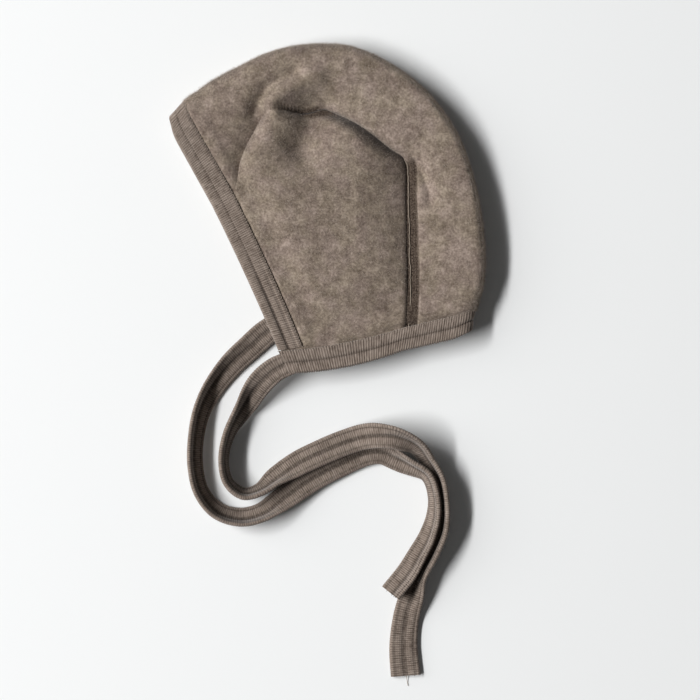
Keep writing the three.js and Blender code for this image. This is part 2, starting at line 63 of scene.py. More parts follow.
FOLD = 0.0015             # reach of a binding's fold beyond the fleece edge
TIE_THICKNESS = 0.0032    # the strip folded to four layers
TIE_CUP = math.radians(26.0)   # how far the halves of a leaning tie bend up about its sewn line
CUP_ROUND = 0.0012        # half the width of that bend
STRIP = 0.013             # flat strip of fleece held inside a binding
EDGE_LEVEL = 0.013        # height of the upper face and neck edges
SWELL_START = 0.0155      # distance from a free edge where the upper side starts to swell
DOME = 0.004              # how far the upper side swells above its edges
FACE_SWELL = 0.018        # distance over which it swells from the face binding
NECK_SWELL = 0.030        # and from the neck binding
OPEN_EASE = 0.008         # distance over which dents fade in beside a binding
BED_EASE = 0.009          # distance over which the lower layer settles on its rest
UNDER_ROUND = 0.010       # plan width of the turn under the outline
ROLL_SHAPE = 0.45         # roundness of the outline fold: 1 is an ellipse, less is fuller
LEAST_RISE = 0.0055       # height that no dent of the upper side sinks below
LEAST_SOFT = 0.0012       # softness of that limit
HANG_FROM = 0.55          # share of the way from the roll's top where it starts to hang over
CORNER_PULL = 0.0034      # how far the outline fold draws back at the face and neck edges
CORNER_REACH = 0.0065     # distance from the fold in which it does
CORNER_FADE = 0.02        # distance from those edges over which it stops
SEAM_WEIGHT = 6           # how sharply a point near two stretches of seam takes the nearer height
SEAM_SPREAD = 3e-7        # and the distance, squared, at which both still count
NO_WEIGHT = 1e-12         # below this, no stretch of seam is near

# Sections of the centre panel from the face edge over the crown to the neck edge: plan of the outline
# fold, of the upper seam and of the lower seam, heights of the fold and of the roll's top, place of the
# top as a share of the way to the seam, height of the seam, steepness beyond the top, the distance in
# which the side panel rises from the seam, how steeply it does, and how far the roll hangs over the seam.
SECTIONS = (
    (-0.0855, 0.0465, -0.061, 0.0025, -0.0635, 0.007, 0.00785, 0.013, 0.4, 0.013, 2.0, 0.008, 3.0, 0.0),
    (-0.077, 0.056, -0.0505, 0.0095, -0.0535, 0.0155, 0.00785, 0.013, 0.4, 0.013, 2.0, 0.008, 3.0, 0.0),
    (-0.067, 0.065, -0.0465, 0.0255, -0.0455, 0.024, 0.0072, 0.0142, 0.3, 0.0092, 2.6, 0.009, 3.0, 0.0),
    (-0.0565, 0.0715, -0.04, 0.04, -0.038, 0.032, 0.0066, 0.0148, 0.28, 0.0082, 2.8, 0.009, 3.0, 0.0),
    (-0.0445, 0.0775, -0.034, 0.0498, -0.031, 0.038, 0.006, 0.015, 0.28, 0.009, 2.8, 0.009, 3.0, 0.0),
    (-0.033, 0.083, -0.029, 0.0543, -0.023, 0.0415, 0.0056, 0.0154, 0.28, 0.0134, 2.2, 0.01, 3.0, 0.0),
    (-0.019, 0.087, -0.0222, 0.0529, -0.0145, 0.044, 0.0055, 0.0156, 0.28, 0.0108, 2.6, 0.009, 2.4, 0.0),
    (-0.003, 0.0885, -0.011, 0.0522, -0.0035, 0.045, 0.0055, 0.0158, 0.28, 0.0062, 3.2, 0.0085, 1.8, 0.001),
    (0.0135, 0.087, 0.0006, 0.0543, 0.0095, 0.0435, 0.0055, 0.0162, 0.23, 0.0062, 5.0, 0.008, 1.5, 0.0035),
    (0.034, 0.078, 0.0183, 0.0463, 0.022, 0.0375, 0.0057, 0.0162, 0.2, 0.0062, 5.0, 0.0085, 1.5, 0.0035),
    (0.0555, 0.061, 0.035, 0.0335, 0.032, 0.0275, 0.0062, 0.0165, 0.18, 0.0064, 4.2, 0.0115, 1.6, 0.003),
    (0.0705, 0.0395, 0.0432, 0.0262, 0.0375, 0.0165, 0.0068, 0.0168, 0.16, 0.008, 2.4, 0.024, 2.0, 0.0012),
    (0.0805, 0.0105, 0.044, 0.0025, 0.04, -0.003, 0.0072, 0.0168, 0.14, 0.0104, 1.7, 0.028, 1.7, 0.0),
    (0.085, -0.0195, 0.0444, -0.021, 0.041, -0.022, 0.0072, 0.0164, 0.14, 0.0112, 1.6, 0.024, 1.7, 0.0),
    (0.0845, -0.0415, 0.0446, -0.0425, 0.0405, -0.0405, 0.0072, 0.0156, 0.17, 0.0134, 1.5, 0.012, 2.0, 0.0),
    (0.079, -0.056, 0.0438, -0.0635, 0.0375, -0.058, 0.00785, 0.0134, 0.4, 0.013, 2.0, 0.01, 2.0, 0.0),
    (0.077, -0.0685, 0.0418, -0.0765, 0.032, -0.069, 0.00785, 0.013, 0.4, 0.013, 2.0, 0.01, 2.0, 0.0),
)
CORNER = 11               # section where the seam turns from the crown to the nape
ROLL_COLUMNS = slice(6, 11)    # columns of a section with the roll's heights, top and steepness
SEAM_RISE, SWELL, STEEP, HANG = 9, 11, 12, 13

# Chin corners of the side panels and the bow of their free edges, outward positive.
NEAR_SIDE = {"chin": (-0.0198, -0.0888), "face_bow": -0.001, "neck_bow": 0.0026}
FAR_SIDE = {"chin": (-0.0185, -0.065), "face_bow": 0.0, "neck_bow": 0.001}

# Soft dents of the upper side: reach, depth (negative: a ridge) and the line that each follows.
DENTS = (
    (0.011, 0.0092, ((-0.005, 0.0515), (-0.0075, 0.0435), (-0.012, 0.0345))),
    (0.0042, 0.003, ((-0.0392, 0.0525), (-0.0362, 0.0592), (-0.0328, 0.064), (-0.0258, 0.0692),
                     (-0.017, 0.0735))),
    (0.0055, -0.003, ((-0.0295, 0.0585), (-0.0247, 0.0637), (-0.018, 0.0675), (-0.0106, 0.0705),
                      (-0.0055, 0.071))),
    (0.003, 0.0022, ((0.0495, 0.0245), (0.0535, 0.018), (0.0562, 0.0105), (0.057, 0.003))),
)

# Ties as they lie: middle line, lean of the strip in degrees (positive: right-hand edge up) and
# height of its lower edge. The first row of each lies inside the end of the neck binding.
LEFT_TIE = (
    (-0.0155, -0.0829, 0.0, 0.0114),
    (-0.0215, -0.085, 0.0, 0.0112),
    (-0.0275, -0.0878, 4.0, 0.0105),
    (-0.0345, -0.0935, 14.0, 0.0085),
    (-0.0415, -0.1015, 32.0, 0.005),
    (-0.0485, -0.1115, 54.0, 0.0015),
    (-0.054, -0.1232, 70.0, 0.0),
    (-0.0565, -0.137, 76.0, 0.0),
    (-0.054, -0.1495, 76.0, 0.0),
    (-0.0455, -0.1565, 72.0, 0.0),
    (-0.0355, -0.1545, 66.0, 0.0),
    (-0.0255, -0.1475, 44.0, 0.0),
    (-0.0145, -0.1393, 20.0, 0.0018),
    (-0.0005, -0.1323, 8.0, 0.0034),
    (0.0105, -0.1278, 3.0, 0.0039),
    (0.0215, -0.1244, -6.0, 0.0058),
    (0.031, -0.1235, -20.0, 0.0098),
    (0.0395, -0.124, -36.0, 0.0106),
    (0.0498, -0.1282, -54.0, 0.0058),
    (0.057, -0.1372, -62.0, 0.0),
    (0.0632, -0.148, -76.0, 0.0),
    (0.0655, -0.1625, -78.0, 0.0),
    (0.0646, -0.176, -70.0, 0.0),
    (0.0592, -0.189, -58.0, 0.0),
    (0.052, -0.201, -44.0, 0.0),
    (0.0474, -0.212, -20.0, 0.0),
    (0.044, -0.224, -3.0, 0.0),
    (0.0425, -0.2395, 0.0, 0.0),
    (0.0437, -0.256, 0.0, 0.0),
)
RIGHT_TIE = (
    (-0.0172, -0.0588, 0.0, 0.0011),
    (-0.0227, -0.0603, 0.0, 0.0011),
    (-0.0263, -0.0629, 2.0, 0.001),
    (-0.0335, -0.068, 6.0, 0.0003),
    (-0.042, -0.0755, 14.0, 0.0),
    (-0.054, -0.086, 28.0, 0.0),
    (-0.064, -0.098, 42.0, 0.0),
    (-0.07, -0.1105, 54.0, 0.0),
    (-0.0728, -0.1255, 60.0, 0.0),
    (-0.073, -0.141, 62.0, 0.0),
    (-0.0695, -0.1555, 62.0, 0.0),
    (-0.0602, -0.1667, 58.0, 0.0),
    (-0.0465, -0.1707, 52.0, 0.0),
    (-0.033, -0.1672, 46.0, 0.0),
    (-0.021, -0.1573, 20.0, 0.0),
    (-0.007, -0.1475, 6.0, 0.0),
    (0.0105, -0.1385, 0.0, 0.0),
    (0.022, -0.1337, -3.0, 0.0),
    (0.031, -0.1328, -22.0, 0.0),
    (0.0385, -0.1356, -37.0, 0.0),
    (0.0469, -0.1396, -55.0, 0.0),
    (0.056, -0.1455, -68.0, 0.0),
    (0.06, -0.1569, -70.0, 0.0),
    (0.0602, -0.1685, -64.0, 0.0),
    (0.057, -0.1802, -56.0, 0.0),
    (0.0519, -0.19, -50.0, 0.0005),
    (0.046, -0.2, -45.0, 0.001),
    (0.0368, -0.2115, -46.0, 0.002),
)
# Loose thread at the cut end of the left tie, lying on the rest.
TAIL = (
    (0.0440, -0.2545, 0.0016),
    (0.0443, -0.2570, 0.0009),
    (0.0446, -0.2595, 0.0003),
    (0.0450, -0.2618, 0.0003),
)
TAIL_RADIUS = 0.00015
THREAD_SIDES = 6          # sides of a thread's section

# Ties across and along: sewn lines, fullness and width.
TIE_SEAM = 0.0004         # place of the sewn line, from the middle of the tie
TIE_EDGE_SEAM = -0.0049   # and of the line beside its edge
TIE_SEWN_WIDTH = 0.0006   # half the width of the dark yarn and painted groove shade along them
TIE_ROWS = ((TIE_SEAM, 0.0009), (TIE_EDGE_SEAM, 0.0004))    # rows of stitches: place and depth
TIE_FULLNESS = 0.88       # share of its thickness that a tie keeps along its length
START_FULLNESS = 0.47     # more of it where the tie leaves the neck binding
START_FADE = 0.03         # distance over which that goes
START_NARROW = 0.09       # share by which a tie is narrower at its start
NARROW_FADE = 0.025       # distance over which that goes
END_FADE = 0.04           # distance from the cut end in which a tie spreads
TIE_RELIEF = 0.7          # share of the full rib depth on a tie
TIE_ALLOWANCE = 0.008     # most that a tie may depart from the box of its solid
PIECE_ALLOWANCE = 0.004   # the same for another piece

# Grooves along a strip's sewn lines: place across the strip, depth and half the width.
TIE_GROOVES = ((TIE_SEAM, 0.0006, 0.0005), (TIE_SEAM, 0.0003, 0.0016), (TIE_EDGE_SEAM, 0.0004, 0.0004))
FACE_GROOVES = ((0.0045, 0.0007, 0.0005), (0.0045, 0.0004, 0.0016), (0.0094, 0.0006, 0.0004))
NECK_GROOVES = ((0.0052, 0.0006, 0.0005), (0.0052, 0.0003, 0.0016), (0.0099, 0.0003, 0.0004))
SEWN_WIDTH = 0.0007       # half the width of the dark yarn and painted groove shade along a binding's sewn line
SEWN_DEPTH = 0.0010       # depth of its stitches
HEM_DEPTH = 0.0004        # depth of the hem's stitches
LEG_TIP = 0.0002          # thickness of a leg at its tip
END_THIN = 0.2            # share by which the neck binding thins toward its two ends
END_THIN_FADE = 0.006     # distance in which it does
OUTLINE_REACH = 0.42      # share of a binding, from its middle, where it goes round the outline
OUTLINE_FADE = 0.16       # share over which its grooves change there

CROWN_STEPS = 140         # mesh steps from the face edge to the corner
NAPE_STEPS = 84           # mesh steps from the corner to the neck edge
FALL_STEPS = 38           # mesh steps across the centre panel: from the seam to the roll's top
ROLL_STEPS = 20           # from the top to the outline
UNDER_STEPS = 8           # round under the outline
FLAT_STEPS = 14           # along the rest
NEAR_STEPS = 116          # mesh steps across and up the upper side panel
FAR_STEPS = 56            # mesh steps across and up the lower side panel
RIB_STEPS = 4             # mesh steps to a rib of a binding or a tie
FALL_SPACING = 1.5        # mesh steps of the fall drawn together toward the seam
NEAR_SPACING = 1.2        # mesh steps of the upper side panel drawn together toward the seam
SEAM_STEP = 4             # points of the seam passed over where the side panel's height is taken
RELIEF_STEP = 3           # and where its relief is
FREE_POINTS = 13          # points along a free edge of a side panel
EDGE_STATIONS = 12        # rough stations of a binding along it
END_STEP = 3              # mesh steps between its stations across an end of the centre panel
FACE_SHARE = 0.97         # share of a face edge that has stations of its own; the rest is the seam's
NECK_SHARE = 0.96         # the same along a neck edge
FACE_INSIDE = 0.08        # share across a side panel that sets a binding's inward direction
NECK_INSIDE = 0.12
FACE_ROWS = 10            # rows of the centre panel that set it there
NECK_ROWS = 8
PIECE_GAP = 0.0004        # between the face binding's end and the neck binding
TANGENT_STEP = 0.0005     # half the length over which a tie's direction is taken
RIB_DRIFT = 0.06          # share of a rib by which it may lie out of place
RIB_LEAST, RIB_MOST = 0.7, 1.15    # range of a rib's depth

SEAM_ROLL = 0.0019        # distance in which the fleece turns down into a seam
SEAM_LEFT = 0.1           # share of its thickness that still shows at the seam
SEAM_SOFT = 60            # mesh steps from the face edge in which the seam lies hidden and soft
SOFT_FADE = 12.0          # mesh steps over which it comes out
CORD_AT = 0.0015          # place of the light thread beside the nape seam
CORD_RADIUS = 0.0002
CORD_WAVE = 0.00012       # height and length of its fine wave
CORD_WAVE_LENGTH = 0.0006
CORD_WANDER = 0.0003      # how far it wanders to the side and down
CORD_LIFT = 0.0001        # and up
CORD_KNOTS = 0.004        # distance between its turns
CORD_SEED = 17
BAND_TO = 0.0064          # outer edge of the stitched band beside the nape seam, from the seam
BAND_FADE = 0.001         # width over which the band's edge rises
BAND_DEPTH = 0.0006
BAND_ROWS = (0.0030, 0.0044, 0.0058)    # rows of stitches on it, from the seam
BAND_END = 9              # mesh rows at the neck edge without them
NAPE_LEAD = 4.0           # mesh rows by which the band starts before the corner
NAPE_FADE = 8.0           # mesh rows over which it does
LIP_FROM = -0.032         # stretch of the crown seam with painted shade under the lip, speckled like pressed wool, by its x
LIP_TO = -0.006
LIP_RISE, LIP_FALL = 0.012, 0.006       # lengths over which that comes and goes
LIP_WIDTH, LIP_FADE = 0.002, 0.003      # its width and the width of its soft edge
LOOPS_FROM, LOOPS_TO = -0.030, -0.013   # stretch of the crown seam with sewn loops, by its x
LOOPS_NEAR, LOOPS_FAR = 0.0008, 0.0046  # their ends, from the seam
LOOP_POINTS = 5
LOOP_STEP = 2             # mesh rows from loop to loop
CREASE_SHADE_WIDTH = 0.0016           # width of the painted shade in the crease along the rest of the crown seam
CREASE_SHADE = 0.8        # darkness of that painted shade
VALLEY_SHADE_WIDTH = 0.0026           # width of the painted shade in the seam valley on the side panel, where the wool is also pressed, from where the roll leaves it bare
PUFF = 0.0012             # how far the fleece puffs up beside a binding
PUFF_FROM, PUFF_RISE = 0.0003, 0.001    # where that starts, from a binding's edge, and in what width
PUFF_TO, PUFF_FADE = 0.004, 0.008       # where it starts to go, and in what width
HELD_FADE = 0.002         # width over which lumps and nap come out beside a binding
FLOOR_CLEAR = 0.004       # nap grows only above this height
FLOOR_FADE = 0.001
FLOOR_DROP = 0.0002       # distance of the floor under the object
NAP_OPEN, NAP_RIM = 0.42, 3.4           # nap of the centre panel, in the open and at the outline
NAP_SIDE = 0.75           # nap of the upper side panel
NAP_PRESSED = 0.9         # share of it that is gone under the press mask, in pressed wool and in painted shade
NAP_UNDER = 3             # mesh columns under the outline that still have it
FIBRE_LEAST, FIBRE_MOST = 0.45, 1.15    # range of a fibre's length, as a share of the usual one
RIM_INSET, RIM_WIDTH = 6, 7.0           # middle and width of the rim, in mesh columns from the outline

CLOUD_SIZE = 0.016        # broad clouds of tone in the fleece
HAIR_SIZE = 0.0012        # its single hairs
HUE_SIZE = 0.011          # its warmer and cooler patches
SPECK_SIZE = 0.0007       # specks of the pressed wool and of the painted shade
LOOP_HEIGHT = 0.0011      # height of a knitted loop
YARN_LENGTH = 0.0035      # length of one tone of yarn along a rib
YARN_WIDTH = 0.7          # its width, as a share of a rib
KNIT_CLOUD = 0.007        # clouds of tone in the knit
SEWN_BREAK = 0.0012       # breaks in the dark yarn and painted shade of a sewn line
TWIST_SIZE = 0.0004       # twist of a thread
SPECULAR = 0.12           # gloss of every material here
SHEEN_ROUGHNESS = 0.5

UP = np.array((0.0, 0.0, 1.0))
BAKE_MAP = "OFBake"       # name of the unwrapped map to bake through
STRIP_MAP = "Strip"       # map in metres along and across a rib-knit strip


def srgb(red, green, blue):
    """Linear colour of a display colour from 0 to 255."""
    shares = [value / 255.0 for value in (red, green, blue)]
    return tuple(s / 12.92 if s <= 0.04045 else ((s + 0.055) / 1.055) ** 2.4 for s in shares)


# Plain mathematics of the forms.


def mix(a, b, share):
    """Value between a and b."""
    return a + (b - a) * share


def ease(share):
    """Smooth step from 0 to 1."""
    share = np.clip(share, 0.0, 1.0)
    return share * share * (3.0 - 2.0 * share)


def unit(vectors):
    """Vectors of length one."""
    return vectors / np.linalg.norm(vectors, axis=-1, keepdims=True)


def square_to(vectors, axes):
    """Vectors of length one, turned square to other vectors of length one."""
    return unit(vectors - axes * (vectors * axes).sum(-1, keepdims=True))


def running_length(points):
    """Length along a line up to each of its points."""
    steps = np.linalg.norm(np.diff(points, axis=0), axis=1)
    return np.concatenate([[0.0], np.cumsum(steps)])


def curve_through(rows, knots, places):
    """Columns of a table on smooth curves through its rows, read at running lengths."""
    last = len(rows) - 1
    order = np.arange(last + 1)
    before, after = np.maximum(order - 1, 0), np.minimum(order + 1, last)
    slopes = (rows[after] - rows[before]) / (knots[after] - knots[before])[:, None]
    k = np.clip(np.searchsorted(knots, places) - 1, 0, last - 1)
    span = (knots[k + 1] - knots[k])[:, None]
    s = (places - knots[k])[:, None] / span
    rise = slopes[k] * span * s * (1.0 - s) ** 2 - slopes[k + 1] * span * s * s * (1.0 - s)
    return mix(rows[k], rows[k + 1], s * s * (3.0 - 2.0 * s)) + rise


def to_line(line, points):
    """Plan distances from points to each segment of a line, with the share along the segment."""
    steps = np.diff(line[:, :2], axis=0)
    away = points[..., None, :2] - line[:-1, :2]
    share = np.clip((away * steps).sum(-1) / (steps * steps).sum(-1), 0.0, 1.0)
    return np.linalg.norm(away - share[..., None] * steps, axis=-1), share


def nearest(line, points):
    """Plan distances from points to a line."""
    return to_line(line, points)[0].min(-1)


def dent_depth(points):
    """Depth of the soft dents at plan points."""
    depth = 0.0
    for reach, deep, line in DENTS:
        depth = depth + deep * np.exp(-((nearest(np.array(line), points) / reach) ** 2))
    return depth


def above_least(heights):
    """Heights held softly above the lower layer."""
    return LEAST_RISE + LEAST_SOFT * np.logaddexp(0.0, (heights - LEAST_RISE) / LEAST_SOFT)


def side_plan(seam, corner, side):
    """Plan of a side panel by shares across and up, between its seam and its free edges."""
    chin = np.array(side["chin"])
    top, right = seam[: corner + 1], seam[corner:][::-1]

    def along(line, share):
        marks = running_length(line)
        return np.stack([np.interp(share, marks / marks[-1], line[:, k]) for k in (0, 1)], axis=-1)

    def bowed(end, bow, share):
        run = end - chin
        across = np.array((run[1], -run[0])) / np.hypot(*run)
        return chin + share[..., None] * run + (4.0 * bow * share * (1.0 - share))[..., None] * across

    def at(across, up):
        a, b = across[..., None], up[..., None]
        plan = (1.0 - b) * bowed(right[0], side["neck_bow"], across) + b * along(top, across)
        plan = plan + (1.0 - a) * bowed(top[0], -side["face_bow"], up) + a * along(right, up)
        plan = plan - (1.0 - a) * (1.0 - b) * chin - a * (1.0 - b) * right[0]
        return plan - (1.0 - a) * b * top[0] - a * b * top[-1]

    return at


def grid_normals(grid):
    """Normals of a mesh of rows and columns."""
    return unit(np.cross(np.gradient(grid, axis=0), np.gradient(grid, axis=1)))


class Form:
    """Middle surfaces of the fleece and the lines that the other pieces follow."""

    def __init__(self):
        rows = np.array(SECTIONS)
        knots = running_length(rows[:, 0:2]) + running_length(rows[:, 2:4])
        crown = np.linspace(knots[0], knots[CORNER], CROWN_STEPS + 1)
        nape = np.linspace(knots[CORNER], knots[-1], NAPE_STEPS + 1)
        self.sections = curve_through(rows, knots, np.concatenate([crown, nape[1:]]))
        self.edge, self.seam, self.far = (self.sections[:, k : k + 2] for k in (0, 2, 4))
        self.near_at = side_plan(self.seam, CROWN_STEPS, NEAR_SIDE)
        self.far_at = side_plan(self.far, CROWN_STEPS, FAR_SIDE)
        shares, none = np.linspace(0.0, 1.0, FREE_POINTS), np.zeros(FREE_POINTS)
        self.near_face, self.near_neck = self.near_at(none, shares), self.near_at(shares, none)
        self.far_face = np.vstack([self.edge[:1], self.far[:1], FAR_SIDE["chin"]])
        self.far_neck = np.vstack([self.edge[-1:], self.far_at(shares[::-1], none)])
        self.centre = self.rounded_ends(self.centre_grid())
        self.centre_normals = grid_normals(self.centre)
        steps = np.linalg.norm(np.diff(self.centre, axis=1), axis=2)
        self.from_seam = np.pad(np.cumsum(steps, axis=1), ((0, 0), (1, 0)))
        self.near = self.near_grid()
        self.lower = self.far_grid()

    def bed(self, points):
        """Height of the lower layer: on the rest, lifted by a binding's leg along its free edges."""
        away = np.minimum(nearest(self.far_face, points), nearest(self.far_neck, points))
        return HALF + (BAND_HALF - HALF) * (1.0 - ease((away - STRIP) / BED_EASE))

    def centre_grid(self):
        """Centre panel, each row from the upper seam over the roll and round to the lower seam."""
        edge_rise, crest, crest_at, seam_rise, fall = self.sections[:, ROLL_COLUMNS].T
        inward, under = self.seam - self.edge, self.far - self.edge
        hang = np.maximum(self.sections[:, HANG], 0.0) / np.linalg.norm(inward, axis=1)
        columns = []
        for share in 1.0 - np.linspace(0.0, 1.0, FALL_STEPS + 1)[:-1] ** FALL_SPACING:
            out = math.sin(math.pi * max(0.0, (share - HANG_FROM) / (1.0 - HANG_FROM)))
            plan = self.edge + inward * (mix(crest_at, 1.0, share) + hang * out)[:, None]
            columns.append(np.column_stack([plan, mix(crest, seam_rise, share**fall)]))
        for turn in np.linspace(math.pi / 2, 0.0, ROLL_STEPS + 1)[:-1]:
            out, up = math.cos(turn) ** ROLL_SHAPE, math.sin(turn) ** ROLL_SHAPE
            plan = self.edge + inward * (crest_at * (1.0 - out))[:, None]
            columns.append(np.column_stack([plan, mix(edge_rise, crest, up)]))
        for column in columns:
            column[:, 2] = above_least(column[:, 2] - dent_depth(column))
        round_share = (UNDER_ROUND / np.linalg.norm(under, axis=1))[:, None]
        for turn in np.linspace(0.0, math.pi / 2, UNDER_STEPS + 1)[:-1]:
            plan = self.edge + under * round_share * (1.0 - math.cos(turn))
            columns.append(np.column_stack([plan, mix(edge_rise, self.bed(plan), math.sin(turn))]))
        for share in np.linspace(0.0, 1.0, FLAT_STEPS + 1):
            plan = self.edge + under * mix(round_share, 1.0, share)
            columns.append(np.column_stack([plan, self.bed(plan)]))
        return np.stack(columns, axis=1)

    def rounded_ends(self, grid):
        """Centre panel drawn back round the outline at its two ends, within its own surface."""
        for end in (grid, grid[::-1]):
            across = running_length(end[0])
            away = across - across[FALL_STEPS + ROLL_STEPS]
            for column in np.flatnonzero(np.abs(away) < 3.0 * CORNER_REACH):
                pull = CORNER_PULL * math.exp(-((away[column] / CORNER_REACH) ** 2))
                marks = running_length(end[:, column])
                places = marks + pull * (1.0 - ease(marks / CORNER_FADE))
                moved = [np.interp(places, marks, end[:, column, k]) for k in range(3)]
                end[:, column] = np.stack(moved, axis=-1)
        return grid

    def near_grid(self):
        """Upper side panel: flat in the bindings, swelling between them, sinking into the seam."""
        shares = 1.0 - (1.0 - np.linspace(0.0, 1.0, NEAR_STEPS + 1)) ** NEAR_SPACING
        across, up = np.meshgrid(shares, shares, indexing="ij")
        plan = self.near_at(across, up)
        face, neck = nearest(self.near_face, plan), nearest(self.near_neck, plan)
        level = ease((face - SWELL_START) / FACE_SWELL) * ease((neck - SWELL_START) / NECK_SWELL)
        level = EDGE_LEVEL + DOME * level
        knots = np.arange(0, len(self.seam), SEAM_STEP)
        line, rise = self.seam[knots], self.sections[knots, SEAM_RISE]
        swell, steep = self.sections[knots, SWELL], self.sections[knots, STEEP]
        distance, share = to_line(line, plan)
        close = 1.0 - np.clip(distance / mix(swell[:-1], swell[1:], share), 0.0, 1.0)
        close = close ** mix(steep[:-1], steep[1:], share)
        weight = close**SEAM_WEIGHT / (SEAM_SPREAD + distance**2)
        total = weight.sum(-1)
        seam_height = (weight * mix(rise[:-1], rise[1:], share)).sum(-1) / np.maximum(total, NO_WEIGHT)
        seam_height = np.where(total > NO_WEIGHT, seam_height, level)
        dents = dent_depth(plan) * ease((face - STRIP) / OPEN_EASE) * ease((neck - STRIP) / OPEN_EASE)
        return np.dstack([plan, above_least(mix(level, seam_height, close.max(-1)) - dents)])

    def far_grid(self):
        """Lower side panel, flat on the rest; rows run up, so that its outer side faces down."""
        shares = np.linspace(0.0, 1.0, FAR_STEPS + 1)
        up, across = np.meshgrid(shares, shares, indexing="ij")
        plan = self.far_at(across, up)
        return np.dstack([plan, self.bed(plan)])


# Meshes.


def new_object(name, mesh):
    """Object of a mesh, at the origin."""
    piece = bpy.data.objects.new(name, mesh)
    bpy.context.scene.collection.objects.link(piece)
    return piece


def new_mesh(name, points, faces, flat_faces=0, maps=None, floats=None):
    """Smooth mesh with UV maps by face corner and numbers by point; the last faces may stay flat."""
    mesh = bpy.data.meshes.new(name)
    mesh.from_pydata(points.reshape(-1, 3).tolist(), [], faces)
    smooth = np.ones(len(faces), bool)
    smooth[len(faces) - flat_faces :] = False
    mesh.polygons.foreach_set("use_smooth", smooth)
    for map_name, corners in (maps or {}).items():
        mesh.uv_layers.new(name=map_name).data.foreach_set("uv", corners.astype(np.float32).ravel())
    for float_name, values in (floats or {}).items():
        layer = mesh.attributes.new(float_name, "FLOAT", "POINT")
        layer.data.foreach_set("value", values.astype(np.float32).ravel())
    mesh.validate()
    return mesh


def sheet_mesh(name, grid, normals, outer, floats):
    """Closed sheet: its grid moved out by the given depths and in by half its thickness.

    The outer side takes the left half of the bake map, the inner side the right, the rim a band between.
    """
    rows, columns = grid.shape[:2]
    points = np.stack([grid + normals * outer[..., None], grid - normals * HALF])
    at = np.arange(rows * columns).reshape(rows, columns)
    upper = np.stack([at[:-1, :-1], at[1:, :-1], at[1:, 1:], at[:-1, 1:]], axis=-1).reshape(-1, 4)
    rim = np.concatenate([at[:-1, 0], at[-1, :-1], at[:0:-1, -1], at[0, :0:-1]])
    after = np.roll(rim, -1)
    below = at.size
    rim_faces = np.stack([rim, rim + below, after + below, after], axis=-1)
    faces = np.vstack([upper, upper[:, ::-1] + below, rim_faces])
    u, v = np.meshgrid(np.linspace(0.005, 0.485, rows), np.linspace(0.005, 0.995, columns), indexing="ij")
    flat = np.stack([u, v], axis=-1).reshape(-1, 2)
    marks = np.linspace(0.005, 0.995, len(rim) + 1)
    rim_u = np.tile((0.492, 0.508, 0.508, 0.492), (len(rim), 1))
    rim_v = np.stack([marks[:-1], marks[:-1], marks[1:], marks[1:]], axis=-1)
    corners = np.concatenate([
        flat[upper].reshape(-1, 2),
        flat[upper[:, ::-1]].reshape(-1, 2) + (0.51, 0.0),
        np.stack([rim_u, rim_v], axis=-1).reshape(-1, 2),
    ])
    doubled = {key: np.concatenate([value.ravel(), np.zeros(below)]) for key, value in floats.items()}
    return new_mesh(name, points, faces.tolist(), maps={BAKE_MAP: corners}, floats=doubled)


def strip_mesh(name, rings, run, proud=None, sewn_yarn_and_shade=None):
    """Closed strip swept through rings, with maps along and across it, its ribs and its sewn lines' dark
    yarn with painted groove shade.

    The bake map holds it in lanes one above another, with its two ends as discs at the right.
    """
    none = np.zeros(rings.shape[:2])
    proud, sewn_yarn_and_shade = (none if value is None else np.broadcast_to(value, none.shape) for value in (proud, sewn_yarn_and_shade))
    ring = rings[0] - rings[0].mean(0)
    facing = np.cross(ring, np.roll(ring, -1, axis=0)).sum(0) @ (rings[1] - rings[0]).mean(0)
    if facing < 0.0:
        rings, proud, sewn_yarn_and_shade = rings[:, ::-1], proud[:, ::-1], sewn_yarn_and_shade[:, ::-1]
    stations, count = rings.shape[:2]
    at = np.arange(stations * count).reshape(stations, count)
    after = np.roll(at, -1, axis=1)
    sides = np.stack([at[:-1], after[:-1], after[1:], at[1:]], axis=-1).reshape(-1, 4)
    faces = sides.tolist() + [at[0, ::-1].tolist(), at[-1].tolist()]
    middle = rings[stations // 2]
    across = running_length(np.vstack([middle, middle[:1]]))
    grid = (stations - 1, count)
    u0, u1 = np.broadcast_to(run[:-1, None], grid), np.broadcast_to(run[1:, None], grid)
    v0, v1 = np.broadcast_to(across[:-1], grid), np.broadcast_to(across[1:], grid)
    strip = np.stack([u0, v0, u0, v1, u1, v1, u1, v0], axis=-1).reshape(-1, 2)
    lanes = max(1, round(math.sqrt(run[-1] / across[-1])))
    per_lane = -(-(stations - 1) // lanes)
    order = np.arange(stations - 1)
    lane, place = (order // per_lane)[:, None], (order % per_lane)[:, None]
    bu0, bu1 = place / per_lane * 0.96 + 0.004, (place + 1) / per_lane * 0.96 + 0.004
    bv0 = (lane + 0.02 + 0.95 * across[:-1] / across[-1]) / lanes
    bv1 = (lane + 0.02 + 0.95 * across[1:] / across[-1]) / lanes
    bu0, bu1 = np.broadcast_to(bu0, grid), np.broadcast_to(bu1, grid)
    bake = np.stack([bu0, bv0, bu0, bv1, bu1, bv1, bu1, bv0], axis=-1).reshape(-1, 2)
    turn = np.linspace(0.0, 2.0 * math.pi, count, endpoint=False)
    disc = np.stack([np.cos(turn), np.sin(turn)], axis=-1) * 0.012
    bake = np.vstack([bake, disc + (0.983, 0.1), disc + (0.983, 0.2)])
    ends = [np.column_stack([np.full(count, run[k]), across[:-1]]) for k in (0, -1)]
    maps = {BAKE_MAP: bake, STRIP_MAP: np.vstack([strip] + ends)}
    floats = {"along": np.repeat(run, count), "proud": proud, "sewn_yarn_and_shade": sewn_yarn_and_shade}
    return new_mesh(name, rings, faces, flat_faces=2, maps=maps, floats=floats)


